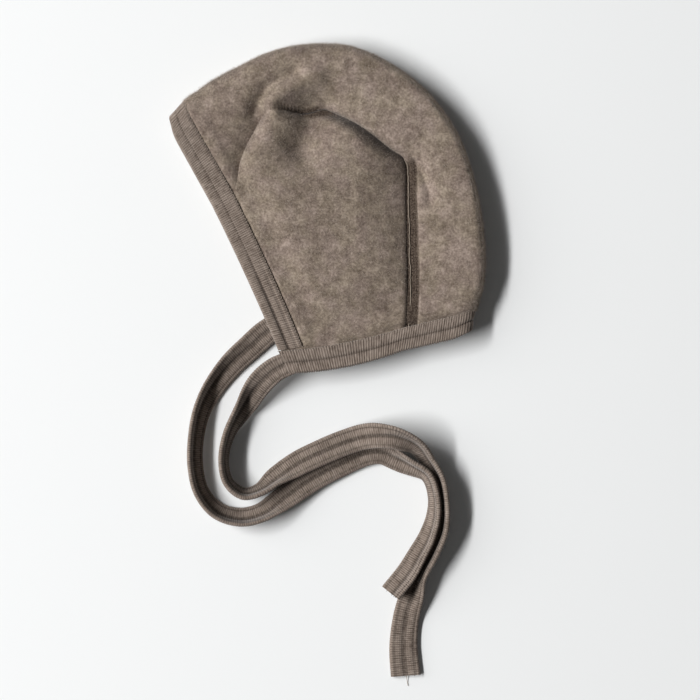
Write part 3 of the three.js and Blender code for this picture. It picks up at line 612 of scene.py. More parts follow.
def line_mesh(name, lines):
    """Lines of points with an upward direction at each point, as rows for stitches."""
    points = np.concatenate([points for points, ups in lines])
    ups = np.concatenate([ups for points, ups in lines])
    edges, start = [], 0
    for line, _ in lines:
        edges += [(start + k, start + k + 1) for k in range(len(line) - 1)]
        start += len(line)
    mesh = bpy.data.meshes.new(name)
    mesh.from_pydata(points.tolist(), edges, [])
    layer = mesh.attributes.new("up", "FLOAT_VECTOR", "POINT")
    layer.data.foreach_set("vector", ups.astype(np.float32).ravel())
    return mesh


# Node trees.


def add_node(tree, kind, inputs=None, **settings):
    """Node with its settings, and its inputs linked or set."""
    node = tree.nodes.new(kind)
    for key, value in settings.items():
        setattr(node, key, value)
    for key, value in (inputs or {}).items():
        if isinstance(value, bpy.types.NodeSocket):
            tree.links.new(value, node.inputs[key])
        else:
            node.inputs[key].default_value = value
    return node


def calc(tree, operation, *values):
    """Output of a Math node."""
    return add_node(tree, "ShaderNodeMath", dict(enumerate(values)), operation=operation).outputs[0]


def attribute(tree, name, kind="FLOAT"):
    """Output that reads an attribute by name."""
    node = add_node(tree, "GeometryNodeInputNamedAttribute", {"Name": name}, data_type=kind)
    return node.outputs["Attribute"]


def start_tree(name, inputs):
    """New geometry tree, with the outputs of its named inputs and the socket of its result."""
    tree = bpy.data.node_groups.new(name, "GeometryNodeTree")
    for label, kind in (("Geometry", "Geometry"),) + inputs:
        tree.interface.new_socket(label, in_out="INPUT", socket_type="NodeSocket" + kind)
    tree.interface.new_socket("Geometry", in_out="OUTPUT", socket_type="NodeSocketGeometry")
    given = tree.nodes.new("NodeGroupInput").outputs
    return tree, given, tree.nodes.new("NodeGroupOutput").inputs["Geometry"]


def end_tree(tree, geometry, material, result):
    """Realize Instances and Set Material as the last nodes of a tree."""
    real = add_node(tree, "GeometryNodeRealizeInstances", {"Geometry": geometry}).outputs[0]
    dressed = add_node(tree, "GeometryNodeSetMaterial", {"Geometry": real, "Material": material})
    tree.links.new(dressed.outputs[0], result)


def push_out(tree, geometry, depth):
    """Geometry moved along its normals by a depth."""
    normal = tree.nodes.new("GeometryNodeInputNormal").outputs["Normal"]
    offset = add_node(tree, "ShaderNodeVectorMath", {0: normal, "Scale": depth}, operation="SCALE")
    moved = add_node(tree, "GeometryNodeSetPosition", {"Geometry": geometry, "Offset": offset.outputs[0]})
    return moved.outputs[0]


def fleece_tree():
    """Soft lumps of brushed fleece, as high as the lump attribute asks."""
    inputs = (("Lump Size", "Float"), ("Lump Height", "Float"), ("Fleece", "Material"))
    tree, given, result = start_tree("Fleece Lumps", inputs)
    scale = calc(tree, "DIVIDE", 1.0, given["Lump Size"])
    noise = add_node(tree, "ShaderNodeTexNoise", {"Scale": scale, "Detail": 2.0, "Roughness": 0.55})
    swing = calc(tree, "MULTIPLY_ADD", noise.outputs["Fac"], 2.0, -1.0)
    height = calc(tree, "MULTIPLY", swing, given["Lump Height"])
    depth = calc(tree, "MULTIPLY", height, attribute(tree, "lump"))
    end_tree(tree, push_out(tree, given["Geometry"], depth), given["Fleece"], result)
    return tree


def rib_tree():
    """Knitted ribs across a strip: narrow valleys pressed in at an even pitch along it."""
    inputs = (("Rib Pitch", "Float"), ("Rib Depth", "Float"), ("Knit", "Material"))
    tree, given, result = start_tree("Knit Ribs", inputs)
    turns = calc(tree, "DIVIDE", attribute(tree, "along"), given["Rib Pitch"])
    wave = calc(tree, "COSINE", calc(tree, "MULTIPLY", turns, 2.0 * math.pi))
    ridge = calc(tree, "POWER", calc(tree, "MULTIPLY_ADD", wave, 0.5, 0.5), 0.8)
    valley = calc(tree, "MULTIPLY", calc(tree, "SUBTRACT", ridge, 1.0), given["Rib Depth"])
    depth = calc(tree, "MULTIPLY", valley, attribute(tree, "proud"))
    end_tree(tree, push_out(tree, given["Geometry"], depth), given["Knit"], result)
    return tree


# Shades of loose fibre, each painted a tone lighter than the wool for the light that fibres catch.
NAP_SHADES = ("Light", "Middle", "Dark")


def nap_tree():
    """Loose fibres on the fleece, standing and lying, in three shades, as dense as nap asks."""
    sizes = (("Density", "Float"), ("Fibre Length", "Float"), ("Fibre Radius", "Float"), ("Lean", "Float"))
    shades = tuple((f"{shade} Fibre", "Material") for shade in NAP_SHADES)
    tree, given, result = start_tree("Wool Nap", sizes + (("Seed", "Int"),) + shades)
    density = calc(tree, "MULTIPLY", given["Density"], attribute(tree, "nap"))
    sizes = {"Vertices": 3, "Radius Top": 0.0, "Radius Bottom": given["Fibre Radius"]}
    sizes["Depth"] = given["Fibre Length"]
    fibre = add_node(tree, "GeometryNodeMeshCone", sizes).outputs["Mesh"]
    back = calc(tree, "MULTIPLY", given["Lean"], -1.0)
    least = add_node(tree, "ShaderNodeCombineXYZ", {"X": back, "Y": back}).outputs[0]
    most = {"X": given["Lean"], "Y": given["Lean"], "Z": math.pi}
    most = add_node(tree, "ShaderNodeCombineXYZ", most).outputs[0]
    together = tree.nodes.new("GeometryNodeJoinGeometry")
    for number, shade in enumerate(NAP_SHADES):
        seed = calc(tree, "ADD", given["Seed"], float(number))
        spread = {"Mesh": given["Geometry"], "Density": density, "Seed": seed}
        roots = add_node(tree, "GeometryNodeDistributePointsOnFaces", spread)
        limits = {0: least, 1: most, "Seed": seed}
        tilt = add_node(tree, "FunctionNodeRandomValue", limits, data_type="FLOAT_VECTOR")
        limits = {2: FIBRE_LEAST, 3: FIBRE_MOST, "Seed": seed}
        size = add_node(tree, "FunctionNodeRandomValue", limits, data_type="FLOAT")
        turned = {"Rotation": roots.outputs["Rotation"], "Rotate By": tilt.outputs[0]}
        turned = add_node(tree, "FunctionNodeRotateRotation", turned, rotation_space="LOCAL").outputs[0]
        planted = {"Points": roots.outputs["Points"], "Instance": fibre, "Rotation": turned}
        planted["Scale"] = size.outputs[1]
        planted = add_node(tree, "GeometryNodeInstanceOnPoints", planted).outputs[0]
        real = add_node(tree, "GeometryNodeRealizeInstances", {"Geometry": planted}).outputs[0]
        dressed = {"Geometry": real, "Material": given[f"{shade} Fibre"]}
        dressed = add_node(tree, "GeometryNodeSetMaterial", dressed).outputs[0]
        tree.links.new(dressed, together.inputs[0])
    tree.links.new(together.outputs[0], result)
    return tree


def stitch_tree():
    """Short rounded stitches laid end to end along lines."""
    sizes = (("Pitch", "Float"), ("Stitch Length", "Float"), ("Thread Radius", "Float"))
    inputs = sizes + (("Thread", "Material"),)
    tree, given, result = start_tree("Stitch Row", inputs)
    curve = add_node(tree, "GeometryNodeMeshToCurve", {"Mesh": given["Geometry"]}).outputs[0]
    spaced = {"Curve": curve, "Length": given["Pitch"]}
    spaced = add_node(tree, "GeometryNodeResampleCurve", spaced, mode="LENGTH").outputs[0]
    axes = {
        "Primary Axis": tree.nodes.new("GeometryNodeInputTangent").outputs[0],
        "Secondary Axis": attribute(tree, "up", "FLOAT_VECTOR"),
    }
    turned = add_node(tree, "FunctionNodeAxesToRotation", axes, primary_axis="X", secondary_axis="Z")
    turned = turned.outputs[0]
    ball = {"Segments": 6, "Rings": 4, "Radius": 1.0}
    ball = add_node(tree, "GeometryNodeMeshUVSphere", ball).outputs["Mesh"]
    long = calc(tree, "MULTIPLY", given["Stitch Length"], 0.5)
    size = {"X": long, "Y": given["Thread Radius"], "Z": given["Thread Radius"]}
    size = add_node(tree, "ShaderNodeCombineXYZ", size).outputs[0]
    stitch = add_node(tree, "GeometryNodeTransform", {"Geometry": ball, "Scale": size}).outputs[0]
    smooth = add_node(tree, "GeometryNodeSetShadeSmooth", {"Geometry": stitch}).outputs[0]
    planted = {"Points": spaced, "Instance": smooth, "Rotation": turned}
    planted = add_node(tree, "GeometryNodeInstanceOnPoints", planted).outputs[0]
    end_tree(tree, planted, given["Thread"], result)
    return tree


TREES = {"lumps": fleece_tree, "ribs": rib_tree, "nap": nap_tree, "stitches": stitch_tree}
made_trees = {}


def grow(piece, tree_name, values):
    """Runs a geometry tree on a piece and keeps the result as its plain mesh."""
    if tree_name not in made_trees:
        made_trees[tree_name] = TREES[tree_name]()
    tree = made_trees[tree_name]
    modifier = piece.modifiers.new(tree.name, "NODES")
    modifier.node_group = tree
    for item in tree.interface.items_tree:
        if item.in_out == "INPUT" and item.name in values:
            modifier[item.identifier] = values[item.name]
    depsgraph = bpy.context.evaluated_depsgraph_get()
    seen = piece.evaluated_get(depsgraph)
    mesh = bpy.data.meshes.new_from_object(seen, preserve_all_data_layers=True, depsgraph=depsgraph)
    piece.modifiers.remove(modifier)
    old, piece.data = piece.data, mesh
    bpy.data.meshes.remove(old)
    mesh.name = piece.name
    return piece


# Materials.


def new_material(name, roughness, sheen, colour=None):
    """Soft material with its even values set on the shader's own sockets."""
    material = bpy.data.materials.new(name)
    material.use_nodes = True
    shader = material.node_tree.nodes["Principled BSDF"]
    shader.inputs["Roughness"].default_value = roughness
    shader.inputs["Specular IOR Level"].default_value = SPECULAR
    shader.inputs["Sheen Weight"].default_value = sheen
    shader.inputs["Sheen Roughness"].default_value = SHEEN_ROUGHNESS
    if colour is not None:
        shader.inputs["Base Color"].default_value = (*colour, 1.0)
    return material, material.node_tree, shader


def noise(tree, place, size, detail=2.0):
    """Soft noise with features of a size."""
    node = add_node(tree, "ShaderNodeTexNoise", {"Vector": place, "Scale": 1.0 / size, "Detail": detail})
    return node.outputs["Fac"]


def blend_sum(tree, parts):
    """Weighted sum of numbers."""
    total = 0.0
    for share, value in parts:
        total = calc(tree, "MULTIPLY_ADD", value, share, total)
    return total


def ramp(tree, value, stops):
    """Colour by value, through stops of position and colour."""
    node = add_node(tree, "ShaderNodeValToRGB", {"Fac": value})
    elements = node.color_ramp.elements
    while len(elements) < len(stops):
        elements.new(1.0)
    for element, (position, colour) in zip(elements, stops):
        element.position = position
        element.color = (*colour, 1.0)
    return node.outputs["Color"]


def bump(tree, shader, height, distance, strength):
    """Fine relief by the normal."""
    inputs = {"Height": height, "Distance": distance, "Strength": strength}
    node = add_node(tree, "ShaderNodeBump", inputs)
    tree.links.new(node.outputs["Normal"], shader.inputs["Normal"])


def tint(colour, other, tree, share):
    """Blend of two colours by a share from 0 to 1."""
    node = add_node(tree, "ShaderNodeMix", data_type="RGBA")
    for socket, value in zip((node.inputs[0], node.inputs[6], node.inputs[7]), (share, colour, other)):
        if isinstance(value, bpy.types.NodeSocket):
            tree.links.new(value, socket)
        else:
            socket.default_value = (*value, 1.0)
    return node.outputs[2]


def fleece_material(name, fleece):
    """Melange of brushed wool: clouds, blotches and single hairs of tone, dark where it is sewn flat, with
    painted shade in the crown crease, under the lip and in the seam valley.
    """
    material, tree, shader = new_material(name, 1.0, fleece.sheen)
    place = tree.nodes.new("ShaderNodeTexCoord").outputs["Object"]
    cloud = noise(tree, place, CLOUD_SIZE)
    blotch = noise(tree, place, fleece.blotch_size, 3.0)
    hair = noise(tree, place, HAIR_SIZE, 4.0)
    tone = blend_sum(tree, ((0.24, cloud), (0.35, blotch), (0.41, hair)))
    ramps = []
    for warm in (0.0, 1.0):
        shift = np.array((1.0 + 0.03 * warm, 1.0, 0.96 + 0.08 * warm))
        shades = [tuple(np.array(shade) * shift) for shade in (fleece.dark, fleece.middle, fleece.light)]
        ramps.append(ramp(tree, tone, tuple(zip((0.36, 0.5, 0.64), shades))))
    patches = noise(tree, place, HUE_SIZE, 3.0)
    hue = ramp(tree, patches, ((0.38, (0.0, 0.0, 0.0)), (0.62, (1.0, 1.0, 1.0))))
    wool = tint(ramps[0], ramps[1], tree, hue)
    # The press mask darkens the stitched band by the nape seam and paints shade into the crown crease,
    # under the lip and into the side panel's seam valley.
    press = add_node(tree, "ShaderNodeAttribute", attribute_name="press").outputs["Fac"]
    speck = noise(tree, place, SPECK_SIZE, 2.0)
    stitched_and_shade = ramp(tree, speck, ((0.38, fleece.pressed_and_shaded), (0.68, fleece.dark)))
    tree.links.new(tint(wool, stitched_and_shade, tree, press), shader.inputs["Base Color"])
    bump(tree, shader, blend_sum(tree, ((0.6, hair), (0.4, blotch))), 0.0006, 0.6)
    return material


def knit_material(name, pitch, dark, middle, light):
    """Rib knit: painted shade in the valleys between ribs, yarn of changing tone along each rib, sewn lines
    of dark yarn with painted groove shade, and small knitted loops.
    """
    material, tree, shader = new_material(name, 0.95, 0.25)
    place = tree.nodes.new("ShaderNodeTexCoord").outputs["Object"]
    strip = add_node(tree, "ShaderNodeUVMap", uv_map=STRIP_MAP).outputs["UV"]
    split = add_node(tree, "ShaderNodeSeparateXYZ", {"Vector": strip}).outputs
    turns = calc(tree, "DIVIDE", split["X"], pitch)
    wave = calc(tree, "COSINE", calc(tree, "MULTIPLY", turns, 2.0 * math.pi))
    ridge = calc(tree, "MULTIPLY_ADD", wave, 0.5, 0.5)
    tent = calc(tree, "ABSOLUTE", calc(tree, "SUBTRACT", calc(tree, "FRACT", turns), 0.5))
    rows = calc(tree, "ADD", calc(tree, "DIVIDE", split["Y"], LOOP_HEIGHT), tent)
    loops = calc(tree, "SINE", calc(tree, "MULTIPLY", rows, 2.0 * math.pi))
    stretch = {0: strip, 1: (1.0 / (YARN_WIDTH * pitch), 1.0 / YARN_LENGTH, 1.0)}
    stretch = add_node(tree, "ShaderNodeVectorMath", stretch, operation="MULTIPLY").outputs[0]
    yarn = noise(tree, stretch, 1.0)
    cloud = noise(tree, place, KNIT_CLOUD, 3.0)
    # The ridge wave paints shade into the valleys between ribs.
    tone = blend_sum(tree, ((0.2, ridge), (0.5, yarn), (0.3, cloud)))
    stops = ((0.28, dark), (0.5, middle), (0.72, light))
    # Sewn lines darkened: dark yarn of the stitches and painted shade of their grooves.
    sewn_yarn_and_shade = add_node(tree, "ShaderNodeAttribute", attribute_name="sewn_yarn_and_shade").outputs["Fac"]
    breaks = calc(tree, "MULTIPLY_ADD", noise(tree, place, SEWN_BREAK), 1.6, 0.1)
    broken = calc(tree, "MULTIPLY", sewn_yarn_and_shade, breaks)
    yarns = tint(ramp(tree, tone, stops), tuple(0.45 * np.array(dark)), tree, broken)
    tree.links.new(yarns, shader.inputs["Base Color"])
    bump(tree, shader, blend_sum(tree, ((0.25, loops), (0.75, yarn))), 0.0003, 0.5)
    return material


def thread_material(name, colour):
    """Sewing thread with a fine twist."""
    material, tree, shader = new_material(name, 0.8, 0.1, colour)
    place = tree.nodes.new("ShaderNodeTexCoord").outputs["Object"]
    bump(tree, shader, noise(tree, place, TWIST_SIZE), 0.0002, 0.5)
    return material


# Strips.


def tie_frames(route, pitch, seed):
    """Stations along a tie, with its across and through directions, its length in ribs and its cup."""
    rows = np.array(route)
    knots = running_length(rows[:, :2])
    length = knots[-1]

    def spot(run):
        x, y, lean, lift = curve_through(rows, knots, np.clip(run, 0.0, length)).T
        lean = np.radians(lean)
        cup = TIE_CUP * np.sin(2.0 * lean) ** 2
        edge = TIE_WIDTH / 2 * (np.abs(np.sin(lean)) - np.tan(cup) * np.abs(np.cos(lean)))
        half = np.maximum(edge, 0.0) + np.abs(np.cos(lean)) * TIE_THICKNESS / 2
        return np.column_stack([x, y, np.maximum(lift, 0.0) + half]), lean, cup

    run, places = rib_places(length, pitch, seed)
    at, lean, cup = spot(places)
    along = unit(spot(places + TANGENT_STEP)[0] - spot(places - TANGENT_STEP)[0])
    level = unit(np.column_stack([along[:, 1], -along[:, 0], np.zeros(len(run))]))
    wide = level * np.cos(lean)[:, None] + UP * np.sin(lean)[:, None]
    wide = square_to(wide, along)
    return at, wide, np.cross(wide, along), run, np.tan(cup)


def rib_places(length, pitch, seed):
    """Even lengths in ribs along a strip, and the slightly uneven places where they lie."""
    count = int(length / pitch)
    run = np.arange(count * RIB_STEPS + 1) * (length / count / RIB_STEPS)
    drift = np.random.default_rng(seed).normal(0.0, RIB_DRIFT * pitch, count + 1)
    drift[0] = drift[-1] = 0.0
    places = run + np.interp(run, np.linspace(0.0, length, count + 1), drift)
    return run * (count * pitch / length), places


def rib_depths(run, pitch, seed):
    """Share of the full depth for each station, so that no two ribs are quite alike."""
    ribs = np.random.default_rng(seed).uniform(RIB_LEAST, RIB_MOST, int(run[-1] / pitch) + 2)
    return ribs[np.floor(run / pitch).astype(int)]


def tie_section(grooves):
    """Section of a tie as across and through pairs: flat faces with sewn grooves, round edges."""
    half, round_edge = TIE_WIDTH / 2, TIE_THICKNESS / 2
    flat = half - round_edge
    across = np.linspace(flat, -flat, 15)
    depth = sum(deep * np.exp(-(((across - at) / width) ** 2)) for at, deep, width in grooves)
    face = np.column_stack([across, round_edge - depth])
    turn = np.radians((60.0, 20.0, -20.0, -60.0))
    left = np.column_stack([-flat - round_edge * np.cos(turn), round_edge * np.sin(turn)])
    return np.vstack([face, left, -face, -left])


def binding_section(grooves):
    """Section of a binding as inward and outward pairs, with its grooves, its sewn line of dark yarn with
    painted groove shade, and its ribs.
    """
    marks = np.array((0.0, 0.012, 0.04, 0.09, 0.13, 0.165, 0.2, 0.24, 0.32, 0.4, 0.48,
                      0.54, 0.575, 0.605, 0.635, 0.67, 0.75, 0.83, 0.92, 1.0))
    inward = TIP * (1.0 - marks)
    depth = sum(deep * np.exp(-(((inward - at) / width) ** 2)) for at, deep, width in grooves)
    tip_round = np.clip((TIP - inward) / TIP_ROUND, 0.0, 1.0)
    outward = mix(SLOT + LEG_TIP, BAND_HALF, np.sqrt(1.0 - (1.0 - tip_round) ** 2))
    face = np.column_stack([inward, outward])
    turn = np.radians((72.0, 54.0, 36.0, 18.0, 0.0, -18.0, -36.0, -54.0, -72.0))
    fold = np.column_stack([-FOLD * np.cos(turn), BAND_HALF * np.sin(turn)])
    back = face[::-1][::2] * (1.0, -1.0)
    slot = np.array(((TIP, -SLOT), (0.0, -SLOT), (-0.0004, -0.001),
                     (-0.0004, 0.001), (0.0, SLOT), (TIP, SLOT)))
    ribs = np.concatenate([np.ones(len(face) + len(fold) + len(back)), np.zeros(len(slot))])
    sunk = np.concatenate([-depth, np.zeros(len(fold)), depth[::-1][::2], np.zeros(len(slot))])
    sewn_yarn_and_shade = np.exp(-(((inward - grooves[0][0]) / SEWN_WIDTH) ** 2))
    sewn_yarn_and_shade = np.concatenate([sewn_yarn_and_shade, np.zeros(len(fold)), sewn_yarn_and_shade[::-1][::2], np.zeros(len(slot))])
    return np.vstack([face, fold, back, slot]), sunk, sewn_yarn_and_shade, ribs


def edge_stations(plan_at, edge, inside, level, up):
    """Stations along a free edge of a side panel, held level."""
    at, inner = plan_at(*edge), plan_at(*inside)
    level = np.full((len(at), 1), level)
    inward = unit(np.hstack([inner - at, np.zeros((len(at), 1))]))
    return np.hstack([np.hstack([at, level]), inward, np.tile(up, (len(at), 1))])


def end_stations(form, row, inside_row):
    """Stations across an end of the centre panel, from the upper seam to the lower one."""
    columns = np.arange(0, form.centre.shape[1], END_STEP)
    at, normal = form.centre[row, columns], form.centre_normals[row, columns]
    inward = unit(form.centre[inside_row, columns] - at)
    return np.hstack([at, inward, square_to(normal, inward)])


def binding_frames(stations, pitch, seed):
    """Even stations along a binding, from its rough ones."""
    knots = running_length(stations[:, :3])
    run, places = rib_places(knots[-1], pitch, seed)
    fine = curve_through(stations, knots, places)
    span = 4 * RIB_STEPS
    window = np.hanning(2 * span + 3)[1:-1]
    window /= window.sum()
    for column in range(3, 9):
        padded = np.pad(fine[:, column], span, mode="edge")
        fine[:, column] = np.convolve(padded, window, mode="valid")
    inward = unit(fine[:, 3:6])
    return fine[:, :3], inward, square_to(fine[:, 6:9], inward), run


def sweep(at, first, second, section, scale=1.0, relief=0.0):
    """Rings of a section along stations, its second direction scaled and moved by a relief at each."""
    through = section[None, :, 1] * np.broadcast_to(scale, len(at))[:, None] + relief
    return at[:, None] + section[None, :, :1] * first[:, None] + through[..., None] * second[:, None]


def round_section(radius):
    """Section of a thread."""
    turn = np.linspace(0.0, 2.0 * math.pi, THREAD_SIDES, endpoint=False)
    return np.column_stack([np.cos(turn), np.sin(turn)]) * radius


def cup_rise(across):
    """Rise of a cupped tie's section beside its sewn line, for a cup of slope 1."""
    return np.hypot(across, CUP_ROUND) - CUP_ROUND


# Settings.


def length_setting(name, description, default):
    return FloatProperty(name=name, description=description, default=default, min=0.0, precision=5,
                         unit="LENGTH")


def colour_setting(name, description, default):
    return FloatVectorProperty(name=name, description=description, default=default, size=3, subtype="COLOR")


class FleeceSettings(bpy.types.PropertyGroup):
    """Sizes and colours of the brushed fleece."""

    lump_size: length_setting("Lump size", "Usual width of a soft lump", 0.005)
    lump_height: length_setting("Lump height", "Height of the soft lumps", 0.0003)
    blotch_size: length_setting("Blotch size", "Usual width of a blotch of tone", 0.0045)
    nap_length: length_setting("Fibre length", "Length of a loose fibre", 0.0021)
    nap_radius: length_setting("Fibre radius", "Radius of a loose fibre at its root", 0.00004)
    nap_density: FloatProperty(name="Fibre density", description="Fibres of one shade on a square metre",
                               default=1.0e6, min=0.0)
    nap_lean: FloatProperty(name="Fibre lean", description="Largest lean of a fibre from upright",
                            default=math.radians(75.0), subtype="ANGLE")
    nap_seed: IntProperty(name="Fibre seed", description="Start of the random draw", default=7)
    sheen: FloatProperty(name="Sheen", description="Share of sheen", default=0.25, subtype="FACTOR")
    dark: colour_setting("Dark wool", "Darkest tone of the melange", srgb(96, 84, 74))
    middle: colour_setting("Middle wool", "Middle tone of the melange", srgb(130, 117, 105))
    light: colour_setting("Light wool", "Lightest tone of the melange", srgb(164, 150, 137))
    # Painted light: the lightest loose fibres are coloured lighter than the wool for the light that they
    # catch.
    bright: colour_setting("Bright wool", "Tone of the lightest loose fibres", srgb(190, 178, 166))
    # Also the colour of the painted shade in the crown crease, under the lip and in the seam valley.
    pressed_and_shaded: colour_setting("Pressed wool", "Tone of the wool under the seam's stitches", srgb(48, 38, 31))


class RibSettings(bpy.types.PropertyGroup):
    """Sizes and colours of the rib knit."""

    face_pitch: length_setting("Face rib pitch", "Width of a rib of the face binding", 0.00115)
    neck_pitch: length_setting("Neck rib pitch", "Width of a rib of the neck binding", 0.00132)
    tie_pitch: length_setting("Tie rib pitch", "Width of a rib of a tie", 0.00118)
    depth: length_setting("Rib depth", "Depth of the valley between ribs", 0.00032)
    # Dark yarn is also the painted shade in the valleys between ribs, and at 0.45 of it the painted shade
    # along the sewn grooves.
    dark: colour_setting("Dark yarn", "Tone of the valleys", srgb(76, 65, 57))
    middle: colour_setting("Middle yarn", "Middle tone of the yarn", srgb(126, 113, 103))
    light: colour_setting("Light yarn", "Tone of the ribs", srgb(158, 145, 135))


class StitchSettings(bpy.types.PropertyGroup):
    """Sizes and colours of the sewing."""

    pitch: length_setting("Stitch pitch", "Distance between stitches", 0.0018)
    length: length_setting("Stitch length", "Length of a stitch", 0.0014)
    radius: length_setting("Thread radius", "Radius of the thread", 0.00018)
    thread: colour_setting("Thread", "Colour of the sewing thread", srgb(74, 61, 52))
    hem_thread: colour_setting("Hem thread", "Colour of the thread along a hem", srgb(162, 149, 137))
    seam_thread: colour_setting("Seam thread", "Colour of the thread of the nape seam", srgb(112, 97, 85))
    seam_cord: colour_setting("Seam cord", "Colour of the light cord in the nape seam", srgb(158, 145, 131))


class StageSettings(bpy.types.PropertyGroup):
    """Floor, light and camera."""

    floor: colour_setting("Floor", "Colour of the floor", (0.86, 0.87, 0.87))
    floor_size: length_setting("Floor size", "Side of the floor", 5.0)
    key_power: FloatProperty(name="Window power", description="Power of the long lamp", default=218.0,
                             unit="POWER")
    key_length: length_setting("Window length", "Length of the long lamp", 3.4)
    key_width: length_setting("Window width", "Width of the long lamp", 0.4)
    soft_power: FloatProperty(name="Soft power", description="Power of the broad lamp", default=106.0,
                              unit="POWER")
    soft_size: length_setting("Soft size", "Side of the broad lamp", 3.6)
    soft_turn: FloatProperty(name="Soft direction", description="Turn of the broad lamp from +X about +Z",
                             default=math.radians(168.0), subtype="ANGLE")
    soft_height: FloatProperty(name="Soft elevation", description="Elevation of the broad lamp",
                               default=math.radians(32.0), subtype="ANGLE")
    lamp_distance: length_setting("Lamp distance", "Distance of the lamps", 4.5)
    lamp_height: FloatProperty(name="Lamp elevation", description="Elevation of the long lamp",
                               default=math.radians(46.5), subtype="ANGLE")
    lamp_turn: FloatProperty(name="Lamp direction", description="Turn of the long lamp from +X about +Z",
                             default=math.radians(177.0), subtype="ANGLE")
    ambient: FloatProperty(name="Ambient light", description="Strength of the even light", default=0.07)
    camera_height: length_setting("Camera height", "Height of the camera", 1.4)
    picture_width: length_setting("Picture width", "Width that the picture shows", 0.385)


PICTURE_CENTRE = (0.01315, -0.07715)    # plan point under the camera
SENSOR = 36.0             # millimetres, Blender's own unit for a camera's sensor and lens


# Operators.


def settle(piece, node=None):
    """Puts a piece on the object's one body, and hides the solid that it stands for."""
    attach(piece, "root")
    if node is not None:
        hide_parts(node)


def knit(name, mesh, pitch, rib, relief):
    """Rib-knit piece from its smooth strip, its ribs deeper or flatter by a share."""
    material = knit_material(f"rib_knit_{name}", pitch, rib.dark, rib.middle, rib.light)
    piece = new_object(name, mesh)
    return grow(piece, "ribs", {"Rib Pitch": pitch, "Rib Depth": relief * rib.depth, "Knit": material})


def stitch_rows(name, lines, stitch, thread):
    """Rows of stitches along lines."""
    piece = new_object(name, line_mesh(name, lines))
    sizes = {"Pitch": stitch.pitch, "Stitch Length": stitch.length, "Thread Radius": stitch.radius}
    return grow(piece, "stitches", {**sizes, "Thread": thread})


def check_place(piece, node, allowance=PIECE_ALLOWANCE):
    """Raises an error where a piece leaves the place of the solid that it stands for."""
    points = np.empty(len(piece.data.vertices) * 3)
    piece.data.vertices.foreach_get("co", points)
    points = points.reshape(-1, 3)
    low, high = (np.array(corner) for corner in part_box(node))
    worst = max(np.abs(points.min(0) - low).max(), np.abs(points.max(0) - high).max())
    if worst > allowance:
        raise RuntimeError(f"{piece.name} departs {worst * 1000:.1f} mm from the box of {node}")


class BONNET_OT_stage(bpy.types.Operator):
    """Set the floor, the two lamps, the even light and the camera"""

    bl_idname = "bonnet.set_stage"
    bl_label = "Stage"

    def execute(self, context):
        stage = context.scene.bonnet_stage
        camera = bpy.data.objects.new("camera", bpy.data.cameras.new("camera"))
        camera.data.sensor_width = SENSOR
        camera.data.lens = SENSOR * stage.camera_height / stage.picture_width
        camera.location = (*PICTURE_CENTRE, stage.camera_height)
        context.scene.collection.objects.link(camera)
        context.scene.camera = camera

        half = stage.floor_size / 2
        corners = np.array(((-half, -half, 0.0), (half, -half, 0.0), (half, half, 0.0), (-half, half, 0.0)))
        floor = new_object("floor", new_mesh("floor", corners - UP * FLOOR_DROP, [[0, 1, 2, 3]]))
        floor.data.materials.append(new_material("pale_floor", 0.7, 0.0, stage.floor)[0])

        lamps = (
            ("key_lamp", stage.key_power, stage.key_length, stage.key_width,
             stage.lamp_turn, stage.lamp_height),
            ("soft_lamp", stage.soft_power, stage.soft_size, stage.soft_size,
             stage.soft_turn, stage.soft_height),
        )
        for name, power, length, width, turn, height in lamps:
            flat = math.cos(height)
            toward = np.array((math.cos(turn) * flat, math.sin(turn) * flat, math.sin(height)))
            lamp = bpy.data.objects.new(name, bpy.data.lights.new(name, "AREA"))
            lamp.data.energy = power
            lamp.data.shape = "RECTANGLE"
            lamp.data.size, lamp.data.size_y = length, width
            lamp.location = np.array((*PICTURE_CENTRE, 0.0)) + toward * stage.lamp_distance
            lamp.rotation_euler = (math.pi / 2 - height, 0.0, turn + math.pi / 2)
            context.scene.collection.objects.link(lamp)

        world = bpy.data.worlds.new("even_light")
        world.use_nodes = True
        world.node_tree.nodes["Background"].inputs["Color"].default_value = (1.0, 1.0, 1.0, 1.0)
        world.node_tree.nodes["Background"].inputs["Strength"].default_value = stage.ambient
        context.scene.world = world
        context.scene.view_settings.view_transform = "Standard"
        return {"FINISHED"}


